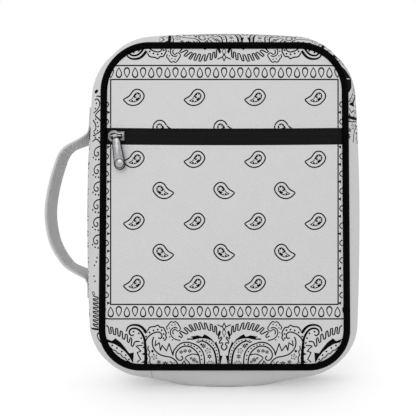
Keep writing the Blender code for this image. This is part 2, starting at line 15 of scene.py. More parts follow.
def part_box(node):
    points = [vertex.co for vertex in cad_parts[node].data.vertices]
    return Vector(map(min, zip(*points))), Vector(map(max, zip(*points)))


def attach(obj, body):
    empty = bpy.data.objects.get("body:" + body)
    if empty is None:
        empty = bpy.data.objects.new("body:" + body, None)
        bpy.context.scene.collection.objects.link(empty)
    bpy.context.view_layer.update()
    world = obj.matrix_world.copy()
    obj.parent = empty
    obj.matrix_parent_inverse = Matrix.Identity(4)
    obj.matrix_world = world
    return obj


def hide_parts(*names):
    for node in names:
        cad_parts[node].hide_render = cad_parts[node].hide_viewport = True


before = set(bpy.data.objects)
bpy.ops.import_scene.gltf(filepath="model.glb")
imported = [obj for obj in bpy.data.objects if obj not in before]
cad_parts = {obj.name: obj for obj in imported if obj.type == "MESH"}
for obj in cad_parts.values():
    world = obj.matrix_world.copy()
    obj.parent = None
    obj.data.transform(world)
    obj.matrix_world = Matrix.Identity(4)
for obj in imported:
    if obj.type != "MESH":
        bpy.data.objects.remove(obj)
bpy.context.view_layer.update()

# Where the photograph was taken from, and its size
PHOTO_SIDE = 416
CAMERA_PLACE = Vector((-0.0130, -0.5300, 0.1462))
FOCAL_COLUMNS = 633.0
SENSOR_WIDTH_MM = 36.0

# Panels: read from the frame, or the same as in the solids
PIPING_DIAMETER = 0.0053
SEAM_GAP = 0.0003
PIPING_LOW, PIPING_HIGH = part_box("front_piping")
BACK_PIPING_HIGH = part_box("back_piping")[1]
HALF_DEPTH = (BACK_PIPING_HIGH.y - PIPING_LOW.y - PIPING_DIAMETER) / 2
PANEL_HEIGHT = PIPING_HIGH.z - PIPING_LOW.z
MIDDLE_Z = (PIPING_HIGH.z + PIPING_LOW.z) / 2
PANEL_WIDTH_TOP = 0.1955
PANEL_WIDTH_BOTTOM = 0.1995
CORNER_RADIUS_TOP = 0.039
CORNER_RADIUS_BOTTOM = 0.033
PANEL_CLOTH = 0.0018
FRONT_CROWN = 0.007
POCKET_ROOM_AT_SEAM = 0.0014
POCKET_WALL_SAG = 0.002
BACK_CROWN = 0.005

# Gusset
GUSSET_CLOTH = 0.0020
SEAM_INSET = 0.0008
SWELL_CORNER_TOP = 0.0090
SWELL_CORNER_BOTTOM = 0.0105
SIDES = (
    # name, faces (degrees), swell in the middle, fullness
    ("top", 90.0, 0.0138, 1.0),
    ("right", 0.0, 0.0144, 0.8),
    ("bottom", -90.0, 0.0240, 2.6),
    ("left", 180.0, 0.0148, 0.8),
)
SPINE_WRAP_TOP = 0.038
SPINE_WRAP_BOTTOM = 0.034

# Zips
POCKET_ZIP_DROP = 0.0745
POCKET_ZIP_SAG = 0.0012
POCKET_TAPE_HEIGHT = 0.0126
POCKET_TAPE_THICKNESS = 0.0012
MAIN_ZIP_BEHIND_MIDDLE = 0.0135
MAIN_TAPE_WIDTH = 0.0110
MAIN_TAPE_THICKNESS = 0.0012
MAIN_TAPE_RECESS = 0.0003

# Handle
HANDLE_WIDTH = 0.0255
HANDLE_THICKNESS = 0.0026
HANDLE_END_THICKNESS = 0.0016
HANDLE_FRONT_EDGE = 0.0005
HANDLE_TWIST = 0.0026
HANDLE_SPAN = 0.135
HANDLE_REACH = 0.0326
HANDLE_ABOVE_MIDDLE = 0.0028
HANDLE_ROUTE = (
    # height as a share of half the span, reach as a share of the handle's reach
    (1.19, 0.000), (1.06, 0.000), (0.94, 0.000), (0.86, 0.050), (0.77, 0.290),
    (0.70, 0.520), (0.61, 0.680), (0.44, 0.800), (0.23, 0.910), (0.02, 0.980),
    (-0.15, 1.000), (-0.34, 0.958), (-0.51, 0.868), (-0.66, 0.707), (-0.79, 0.500),
    (-0.88, 0.240), (-0.94, 0.050), (-1.00, 0.000), (-1.09, 0.000), (-1.18, 0.000),
)

# Values that follow
MEAN_WIDTH = (PANEL_WIDTH_TOP + PANEL_WIDTH_BOTTOM) / 2
HALF_HEIGHT = PANEL_HEIGHT / 2
PIPING_RADIUS = PIPING_DIAMETER / 2
PANEL_INSET = PIPING_DIAMETER + SEAM_GAP
HALF_FIELD_WIDTH = MEAN_WIDTH / 2 - PANEL_INSET
HALF_FIELD_HEIGHT = HALF_HEIGHT - PANEL_INSET
GUSSET_SEAM_Y = HALF_DEPTH - PIPING_RADIUS - SEAM_GAP
POCKET_ZIP_Z = MIDDLE_Z + HALF_HEIGHT - POCKET_ZIP_DROP

# Detail of the cloth
SEAM_DIP = 0.0011
SEAM_DIP_REACH = 0.0045
PANEL_GRID = 0.0050
RIM_STEP = 0.0030
MM = 1000.0


# Shape of the bag

def corner_of(angle):
    """Centre and radius of the corner that faces this way."""
    radius = CORNER_RADIUS_TOP if math.sin(angle) > 0 else CORNER_RADIUS_BOTTOM
    centre_x = math.copysign(MEAN_WIDTH / 2 - radius, math.cos(angle))
    centre_z = math.copysign(HALF_HEIGHT - radius, math.sin(angle))
    return Vector((centre_x, centre_z)), radius


def side_runs():
    """For each side: its two half corners, the straight between them and its length."""
    runs = []
    for name, faces, swell, fullness in SIDES:
        facing = math.radians(faces)
        ends = []
        for angle in (facing + math.radians(45), facing - math.radians(45)):
            centre, radius = corner_of(angle)
            corner_swell = SWELL_CORNER_TOP if math.sin(angle) > 0 else SWELL_CORNER_BOTTOM
            ends.append((centre, radius, corner_swell))
        apart = ends[1][0] - ends[0][0]
        straight = abs(apart.y) if name in ("left", "right") else abs(apart.x)
        length = (ends[0][1] + ends[1][1]) * math.pi / 4 + straight
        runs.append((facing, ends[0], ends[1], straight, length, swell, fullness))
    return runs


RUNS = side_runs()
RIM_LENGTH = sum(run[4] for run in RUNS)
SPINE_START = RIM_LENGTH - RUNS[3][4]
ZIP_START = SPINE_WRAP_TOP + SEAM_GAP / 2
ZIP_END = SPINE_START - SPINE_WRAP_BOTTOM - SEAM_GAP / 2


def width_share(height):
    """Width at this height over the mean width: the panels widen a little towards the bottom."""
    up = (height + HALF_HEIGHT) / PANEL_HEIGHT
    return (PANEL_WIDTH_BOTTOM + (PANEL_WIDTH_TOP - PANEL_WIDTH_BOTTOM) * up) / MEAN_WIDTH


def rim(along):
    """Point on the piping's outer edge, its outward direction and the gusset's swell there.

    Along runs clockwise, seen from the front, from the middle of the top left corner.
    """
    rest = along % RIM_LENGTH
    for run in RUNS:
        if rest <= run[4] or run is RUNS[-1]:
            break
        rest -= run[4]
    facing, first, last, straight, length, swell, fullness = run
    share = min(rest / length, 1.0)
    first_arc = first[1] * math.pi / 4
    if rest < first_arc:
        angle = facing + math.pi / 4 - rest / first[1]
        centre, radius = first[0], first[1]
    elif rest <= first_arc + straight:
        angle = facing
        ahead = Vector((math.cos(facing), math.sin(facing)))
        step = (rest - first_arc) / straight
        centre = (first[0] + ahead * first[1]).lerp(last[0] + ahead * last[1], step)
        radius = 0.0
    else:
        angle = facing - (rest - first_arc - straight) / last[1]
        centre, radius = last[0], last[1]
    outward = Vector((math.cos(angle), math.sin(angle)))
    point = centre + outward * radius
    point.x *= width_share(point.y)
    corner = first[2] + (last[2] - first[2]) * share
    rise = math.sin(math.pi * share) ** fullness
    return point, outward, corner + (swell - corner) * rise


def gusset_offset(depth_y, swell):
    """How far the gusset's outer face lies beyond the piping's outer edge."""
    across = depth_y / GUSSET_SEAM_Y
    return -SEAM_INSET + (swell + SEAM_INSET) * (1 - across * across)


def gusset_point(along, depth_y, sink=0.0, floor=0.0):
    """Point of the gusset, sunk below its outer face, and never lower than the floor."""
    point, outward, swell = rim(along)
    out = gusset_offset(depth_y, swell) - sink
    height = MIDDLE_Z + point.y + outward.y * out
    return Vector((point.x + outward.x * out, depth_y, max(height, floor)))


def pillow(x, z):
    """Share of the crown at a place on a panel: none at the piping, all in the middle."""
    across = min(abs(x) / HALF_FIELD_WIDTH, 1.0)
    up = min(abs(z - MIDDLE_Z) / HALF_FIELD_HEIGHT, 1.0)
    return (1 - across * across) * (1 - up * up)


def seam_distance(x, z):
    """How far a place on a panel lies inside the piping's inner edge."""
    height = z - MIDDLE_Z
    radius = CORNER_RADIUS_TOP if height > 0 else CORNER_RADIUS_BOTTOM
    over_x = abs(x) / width_share(height) - (MEAN_WIDTH / 2 - radius)
    over_z = abs(height) - (HALF_HEIGHT - radius)
    if over_x > 0 and over_z > 0:
        return radius - math.hypot(over_x, over_z) - PANEL_INSET
    return radius - max(over_x, over_z) - PANEL_INSET


def seam_dip(x, z):
    """How far the cloth is drawn in where it is sewn to the piping."""
    near = 1 - min(max(seam_distance(x, z), 0.0) / SEAM_DIP_REACH, 1.0)
    return SEAM_DIP * near * near


def zip_sag(x):
    """How far the pocket zip hangs below a straight line."""
    across = min(abs(x) / HALF_FIELD_WIDTH, 1.0)
    return POCKET_ZIP_SAG * (1 - across * across)


def zip_height(x):
    return POCKET_ZIP_Z - zip_sag(x)


def front_face_y(x, z):
    """Outer face of the front, as the solids have it."""
    return -HALF_DEPTH - PANEL_CLOTH - FRONT_CROWN * pillow(x, z)


def panel_place(spot):
    """Outer face of the printed front panels, drawn in at the seams."""
    x, z = spot.x / MM, spot.y / MM
    return Vector((x, front_face_y(x, z) + seam_dip(x, z), z))


def panel_under(spot):
    x, z = spot.x / MM, spot.y / MM
    return Vector((x, front_face_y(x, z) + PANEL_CLOTH, z))


def back_place(spot):
    """Outer face of the back panel."""
    x, z = spot.x / MM, spot.y / MM
    face = HALF_DEPTH + PANEL_CLOTH / 2 + BACK_CROWN * pillow(x, z)
    return Vector((x, face - seam_dip(x, z) * 0.7, z))


def back_under(spot):
    x, z = spot.x / MM, spot.y / MM
    return Vector((x, HALF_DEPTH - PANEL_CLOTH / 2 + BACK_CROWN * pillow(x, z), z))


def pocket_wall_place(spot):
    """Front face of the wall behind the pocket."""
    x, z = spot.x / MM, spot.y / MM
    return Vector((x, -HALF_DEPTH + POCKET_ROOM_AT_SEAM + POCKET_WALL_SAG * pillow(x, z), z))


def pocket_wall_under(spot):
    return pocket_wall_place(spot) + Vector((0.0, PANEL_CLOTH, 0.0))


def gusset_place(spot):
    """Outer face of the gusset: X of the spot runs along the rim, Y from front to back."""
    return gusset_point(spot.x / MM, spot.y / MM)


def gusset_under(spot):
    return gusset_point(spot.x / MM, spot.y / MM, GUSSET_CLOTH, GUSSET_CLOTH)


def tape_place(spot):
    return gusset_point(spot.x / MM, spot.y / MM, MAIN_TAPE_RECESS)


def tape_under(spot):
    sink = MAIN_TAPE_RECESS + MAIN_TAPE_THICKNESS
    return gusset_point(spot.x / MM, spot.y / MM, sink, MAIN_TAPE_THICKNESS)


def stations(start, end, step):
    """Distances from start to end, about a step apart."""
    count = max(1, math.ceil((end - start) / step))
    return [start + (end - start) * i / count for i in range(count + 1)]


def rim_outline(inset):
    """Closed outline (x, z) inside the piping's outer edge by the inset, anticlockwise, in mm."""
    points = []
    for along in reversed(stations(0.0, RIM_LENGTH, RIM_STEP)[:-1]):
        point, outward, _ = rim(along)
        x = point.x - outward.x * inset
        z = MIDDLE_Z + point.y - outward.y * inset
        points.append(Vector((x * MM, z * MM)))
    return points


def cut_outline(points, edge_z, keep_above):
    """The part of an outline above or below an edge whose height in mm depends on x."""
    kept = []
    for here, after in zip(points, points[1:] + points[:1]):
        here_over = here.y - edge_z(here.x)
        after_over = after.y - edge_z(after.x)
        if (here_over > 0) == keep_above:
            kept.append(here)
        if (here_over > 0) != (after_over > 0):
            kept.append(here.lerp(after, here_over / (here_over - after_over)))
    whole = []
    for here, after in zip(kept, kept[1:] + kept[:1]):
        whole.append(here)
        if abs(after.x - here.x) > 100:
            steps = 45
            for i in range(1, steps):
                x = here.x + (after.x - here.x) * i / steps
                whole.append(Vector((x, edge_z(x))))
    return whole


def zip_edge(offset):
    """Height in mm of a line that runs along the pocket zip."""
    return lambda x: (zip_height(x / MM) + offset) * MM


# Cloth pieces with a print

INK = 1
CLOTH = 0


def polygon_area(points):
    return sum(a.x * b.y - b.x * a.y for a, b in zip(points, points[1:] + points[:1])) / 2


def inside(spot, outline):
    """Whether a spot lies inside an outline."""
    crossings = 0
    for here, after in zip(outline, outline[1:] + outline[:1]):
        if (here.y > spot.y) != (after.y > spot.y):
            crossing_x = here.x + (after.x - here.x) * (spot.y - here.y) / (after.y - here.y)
            crossings += crossing_x > spot.x
    return crossings % 2 == 1


def grid_spots(outline, step):
    """A staggered grid of spots over an outline."""
    low_x = min(point.x for point in outline)
    high_x = max(point.x for point in outline)
    low_y = min(point.y for point in outline)
    high_y = max(point.y for point in outline)
    spots = []
    for row in range(int((high_y - low_y) / step)):
        shift = 0.25 if row % 2 else 0.75
        for column in range(int((high_x - low_x) / step)):
            spot = Vector((low_x + (column + shift) * step, low_y + (row + 0.5) * step))
            if inside(spot, outline):
                spots.append(spot)
    return spots


def triangulate(outline, marks, step):
    """Triangles inside the outline, each with the colour of the topmost mark over it."""
    spots = list(outline)
    edges = []
    cells = {}
    for number, (colour, polygon) in enumerate(marks):
        first = len(spots)
        count = len(polygon)
        spots += polygon
        edges += [(first + i, first + (i + 1) % count) for i in range(count)]
        for cell in cells_under(polygon):
            cells.setdefault(cell, []).append(number)
    spots += grid_spots(outline, step)
    filled = delaunay_2d_cdt(spots, edges, [list(range(len(outline)))], 0, 1e-4, True)
    triangles = []
    for triangle, over in zip(filled[2], filled[5]):
        if not over:
            continue
        middle = (filled[0][triangle[0]] + filled[0][triangle[1]] + filled[0][triangle[2]]) / 3
        colour = CLOTH
        for number in reversed(cells.get(cell_of(middle), [])):
            if inside(middle, marks[number][1]):
                colour = marks[number][0]
                break
        triangles.append((triangle, colour))
    used = sorted({i for triangle, _ in triangles for i in triangle})
    number_of = {i: number for number, i in enumerate(used)}
    renumbered = [([number_of[i] for i in triangle], colour) for triangle, colour in triangles]
    return [filled[0][i] for i in used], renumbered


CELL = 3.0


def cell_of(spot):
    return math.floor(spot.x / CELL), math.floor(spot.y / CELL)


def cells_under(polygon):
    """The cells of a 3 mm grid that a polygon's box reaches into."""
    low = cell_of(Vector((min(p.x for p in polygon), min(p.y for p in polygon))))
    high = cell_of(Vector((max(p.x for p in polygon), max(p.y for p in polygon))))
    return [(i, j) for i in range(low[0], high[0] + 1) for j in range(low[1], high[1] + 1)]


def boundary_loop(triangles):
    """The edge of a set of triangles, as one loop of point numbers."""
    edges = set()
    for triangle, _ in triangles:
        edges.update(zip(triangle, triangle[1:] + triangle[:1]))
    following = {i: j for i, j in edges if (j, i) not in edges}
    start = next(iter(following))
    loop = [start]
    while following[loop[-1]] != start:
        loop.append(following[loop[-1]])
    return loop


def surface_normal(place, spot):
    """Normal of a placed sheet, from two short steps on it."""
    step = 0.4
    across = place(spot + Vector((step, 0.0))) - place(spot - Vector((step, 0.0)))
    up = place(spot + Vector((0.0, step))) - place(spot - Vector((0.0, step)))
    return across.cross(up).normalized()


def cloth_piece(name, outline, marks, place, under, materials, step, flip=False):
    """A closed piece of cloth: printed outer face, cut edge and plain inner face.

    The outline and marks are in mm on the flat cloth; place and under set its two faces.
    """
    if polygon_area(outline) < 0:
        outline = outline[::-1]
    spots, triangles = triangulate(outline, marks, step)
    loop = boundary_loop(triangles)
    inner_outline = [spots[i] for i in loop]
    inner_spots, inner_triangles = triangulate(inner_outline, [], step * 3)
    inner_loop = boundary_loop(inner_triangles)
    shift = nearest_start(inner_spots, inner_loop, inner_outline[0])
    inner_loop = inner_loop[shift:] + inner_loop[:shift]

    builder = bmesh.new()
    cloth_map = builder.loops.layers.uv.new("cloth")
    bake_map = builder.loops.layers.uv.new("OFBake")
    low = Vector((min(p.x for p in outline), min(p.y for p in outline)))
    high = Vector((max(p.x for p in outline), max(p.y for p in outline)))
    size = high - low

    def in_block(spot, left, bottom, width, height):
        share_x = (spot.x - low.x) / size.x
        share_y = (spot.y - low.y) / size.y
        return Vector((left + share_x * width, bottom + share_y * height))

    outer = [builder.verts.new(place(spot)) for spot in spots]
    inner = [builder.verts.new(under(spot)) for spot in inner_spots]
    shown = set()
    for triangle, colour in triangles:
        face = builder.faces.new([outer[i] for i in triangle])
        face.material_index = colour
        shown.add(face)
        for corner, i in zip(face.loops, triangle):
            corner[cloth_map].uv = spots[i] / MM
            corner[bake_map].uv = in_block(spots[i], 0.005, 0.005, 0.99, 0.90)
    for triangle, _ in inner_triangles:
        face = builder.faces.new([inner[i] for i in reversed(triangle)])
        face.material_index = len(materials) - 1
        for corner, i in zip(face.loops, reversed(triangle)):
            corner[cloth_map].uv = inner_spots[i] / MM
            corner[bake_map].uv = in_block(inner_spots[i], 0.005, 0.92, 0.45, 0.075)
    count = len(loop)
    for n in range(count):
        m = (n + 1) % count
        ring = (outer[loop[m]], outer[loop[n]], inner[inner_loop[n]], inner[inner_loop[m]])
        face = builder.faces.new(ring)
        face.material_index = len(materials) - 1
        for corner, (share, height) in zip(face.loops, ((n + 1, 1), (n, 1), (n, 0), (n + 1, 0))):
            spot = spots[loop[share % count]]
            corner[cloth_map].uv = Vector((spot.x, spot.y + height * 2)) / MM
            corner[bake_map].uv = Vector((0.47 + 0.52 * share / count, 0.92 + 0.07 * height))
    if flip:
        for face in builder.faces:
            face.normal_flip()
    mesh = bpy.data.meshes.new(name)
    sign = -1.0 if flip else 1.0
    builder.faces.index_update()
    outer_normals = {vert: surface_normal(place, spots[i]) * sign for i, vert in enumerate(outer)}
    normals = []
    for face in builder.faces:
        for corner in face.loops:
            normals.append(outer_normals[corner.vert] if face in shown else Vector((0, 0, 0)))
    for vert, other in ((outer[i], outer[j]) for i, j in zip(loop, loop[1:] + loop[:1])):
        edge = builder.edges.get((vert, other))
        edge.smooth = False
    builder.to_mesh(mesh)
    builder.free()
    for polygon in mesh.polygons:
        polygon.use_smooth = True
    mesh.normals_split_custom_set(normals)
    return add_piece(name, mesh, materials)


def nearest_start(spots, loop, wanted):
    """Position in a loop of the point nearest to the wanted one."""
    return min(range(len(loop)), key=lambda n: (spots[loop[n]] - wanted).length)


def add_piece(name, mesh, materials):
    """Link a mesh to the scene with its materials."""
    for material in materials:
        mesh.materials.append(material)
    piece = bpy.data.objects.new(name, mesh)
    bpy.context.scene.collection.objects.link(piece)
    return piece


# Print, charted in the photograph's columns (to the right) and rows (down)

LINE = 1.35
FINE = 1.15
LONGEST_MARK = 4.0
PRINT_MIDDLE = 224.1
FRAME_LEFT = 110.6
FRAME_RIGHT = 338.1
FRAME_TOP = 79.5
FRAME_BOTTOM = 304.4
DROP_ROW_TOP = 65.5
DROP_ROW_BOTTOM = 318.9


def smooth(points, closed=False, step=1.6):
    """Points about a step apart on a smooth curve through the charted ones."""
    spots = [Vector(point) for point in points]
    if closed:
        ends = [spots[-1]] + spots + [spots[0], spots[1]]
    else:
        ends = [spots[0] * 2 - spots[1]] + spots + [spots[-1] * 2 - spots[-2]]
    curve = [] if closed else [spots[0]]
    for before, here, after, beyond in zip(ends, ends[1:], ends[2:], ends[3:]):
        pieces = max(1, round((after - here).length / step))
        for i in range(1, pieces + 1):
            t = i / pieces
            curve.append((
                here * 2
                + (after - before) * t
                + (before * 2 - here * 5 + after * 4 - beyond) * t ** 2
                + (here * 3 - before - after * 3 + beyond) * t ** 3
            ) / 2)
    return curve


def straight_stroke(points, width):
    """Inked straight lines with pointed turns, split so that they can follow the cloth's crown."""
    marks = []
    spots = [Vector(point) for point in points]
    for here, after in zip(spots, spots[1:]):
        ahead = (after - here).normalized()
        left = Vector((-ahead.y, ahead.x)) * width / 2
        start = here - ahead * width * 0.35
        end = after + ahead * width * 0.35
        pieces = max(1, math.ceil((end - start).length / LONGEST_MARK))
        for i in range(pieces):
            low = start.lerp(end, i / pieces)
            high = start.lerp(end, (i + 1) / pieces)
            marks.append((INK, [low + left, low - left, high - left, high + left]))
    return marks


def stroke(points, width=LINE, closed=False, taper=1.0):
    """An inked curve, as a row of four-sided marks that share their corners."""
    path = smooth(points, closed)
    count = len(path)
    sides = []
    for i, here in enumerate(path):
        before = path[i - 1] if i or closed else here
        after = path[(i + 1) % count] if i < count - 1 or closed else here
        ahead = after - before
        if ahead.length < 1e-6:
            ahead = Vector((1.0, 0.0))
        ahead.normalize()
        left = Vector((-ahead.y, ahead.x))
        half = width / 2 * (1 + (taper - 1) * i / max(count - 1, 1))
        sides.append((here + left * half, here - left * half))
    pairs = list(zip(sides, sides[1:]))
    if closed:
        pairs.append((sides[-1], sides[0]))
    return [(INK, [left, right, next_right, next_left])
            for (left, right), (next_left, next_right) in pairs]


def meander(points, width=LINE, half_turn=0.95):
    """A line that winds to and fro: each charted point is the middle of a round turn."""
    spots = [Vector(point) for point in points]
    path = [spots[0]]
    for before, here, after in zip(spots, spots[1:], spots[2:]):
        travel = (after - before).normalized() * half_turn
        path += [here - travel, here + travel]
    path.append(spots[-1])
    return stroke(path, width)


def blob(points, colour=INK, curved=True):
    """A filled shape."""
    return [(colour, smooth(points, closed=True) if curved else [Vector(p) for p in points])]


def disc(place, radius, colour=INK, sides=8):
    """A round dot."""
    return [(colour, [
        Vector((place[0] + radius * math.cos(math.tau * i / sides),
                place[1] + radius * math.sin(math.tau * i / sides)))
        for i in range(sides)
    ])]


def flower(place, radius, petals, colour=INK, heart=None):
    """A small flower: round petals, and a heart in another colour."""
    points = []
    for i in range(petals * 4):
        turn = math.tau * i / (petals * 4)
        reach = radius * (0.42 + 0.62 * abs(math.sin(petals * turn / 2)))
        points.append(Vector((place[0] + reach * math.cos(turn), place[1] + reach * math.sin(turn))))
    marks = [(colour, points)]
    if heart is not None:
        marks += disc(place, radius * 0.22, heart, 6)
    return marks


def ringed_flower(place, radius, petals):
    """An outlined flower with a bare middle."""
    return flower(place, radius, petals) + flower(place, radius * 0.68, petals, CLOTH, INK)


def dots(places, radius=1.0):
    return [mark for place in places for mark in disc(place, radius)]


def drop(place, down, width=7.0, height=10.7):
    """An outlined drop, round at one end and pointed at the other."""
    marks = []
    for colour, grow in ((INK, 0.15), (CLOTH, -1.15)):
        half_width = width / 2 + grow
        points = []
        for i in range(16):
            turn = math.tau * i / 16
            narrow = math.sin(turn / 2) ** 0.9
            points.append(Vector((
                place[0] + half_width * math.sin(turn) * narrow * 1.12,
                place[1] + (height / 2 + grow * 1.25) * math.cos(turn) * (-1 if down else 1) * -1,
            )))
        marks.append((colour, points))
    return marks


def moved(marks, columns=0.0, rows=0.0):
    shift = Vector((columns, rows))
    return [(colour, [point + shift for point in polygon]) for colour, polygon in marks]


def mirrored(marks, column=PRINT_MIDDLE):
    """The marks turned over left to right."""
    return [(colour, [Vector((2 * column - p.x, p.y)) for p in polygon]) for colour, polygon in marks]


def upended(marks, row_sum=FRAME_TOP + FRAME_BOTTOM):
    """The marks turned over top to bottom."""
    return [(colour, [Vector((p.x, row_sum - p.y)) for p in polygon]) for colour, polygon in marks]


def field_paisley():
    """One paisley of the field, an outline round a black drop with two bare flowers."""
    marks = stroke((
        (123.6, 99.6), (128.4, 96.6), (130.7, 94.3), (132.5, 91.6), (134.4, 90.0), (136.7, 89.3),
        (139.0, 89.5), (141.3, 90.9), (143.1, 93.0), (144.1, 95.5), (143.6, 98.2), (141.9, 100.8),
        (139.4, 103.3), (136.7, 104.8), (133.2, 105.5), (129.8, 105.0), (127.0, 103.5), (125.2, 101.7),
    ), closed=True)
    marks += blob((
        (128.2, 100.5), (131.6, 98.7), (133.0, 96.4), (134.4, 94.1), (136.2, 92.5), (138.0, 92.3),
        (140.1, 93.6), (141.0, 95.5), (140.6, 97.8), (138.5, 100.3), (136.2, 101.7), (133.9, 102.4),
        (131.6, 102.1), (129.8, 101.5),
    ))
    marks += flower((137.6, 96.0), 2.5, 5, CLOTH)
    marks += flower((134.2, 99.4), 2.4, 5, CLOTH)
    marks += disc((131.0, 100.5), 0.7, CLOTH, 6)
    return marks


def field_marks():
    """Rows of paisleys, every second row turned the other way."""
    marks = []
    one = field_paisley()
    other = mirrored(one, 133.8)
    for row in (97.6, 159.5, 221.5, 283.8):
        for column in (133.8, 194.4, 255.0, 315.3):
            marks += moved(one, column - 133.8, row - 97.6)
    for row in (128.6, 190.7, 252.6):
        for column in (163.3, 224.2, 284.9):
            marks += moved(other, column - 133.8, row - 97.6)
    return marks


def frame_marks():
    """The frame line round the field, its rows of drops and its side columns."""
    marks = []
    for column in (FRAME_LEFT, FRAME_RIGHT):
        marks += straight_stroke(((column, FRAME_TOP), (column, FRAME_BOTTOM)), LINE)
    for row in (FRAME_TOP, FRAME_BOTTOM):
        marks += straight_stroke(((FRAME_LEFT, row), (FRAME_RIGHT, row)), LINE)
    for row in (DROP_ROW_TOP, DROP_ROW_BOTTOM):
        marks += straight_stroke(((98.0, row), (350.0, row)), LINE)
    pitch = 16.2
    for i in range(-8, 9):
        marks += drop((PRINT_MIDDLE + pitch * i, 312.0), down=False)
        marks += drop((PRINT_MIDDLE + pitch * (i + 0.5), 311.4), down=True)
        marks += drop((PRINT_MIDDLE - 8.0 + pitch * i, 72.6), down=False)
        marks += drop((PRINT_MIDDLE + pitch * i, 72.6), down=True)
    for i in range(12):
        row = 104.2 + 17.36 * i
        bump = [
            (105.4 + 3.0 * math.cos(turn), row + 2.8 * math.sin(turn))
            for turn in (math.radians(30 * i - 90) for i in range(7))
        ]
        side = stroke(bump, FINE)
        side += blob(((107.0, row + 6.2), (110.4, row + 8.0), (107.0, row + 9.8)), curved=False)
        marks += side
        marks += mirrored(side)
    return marks


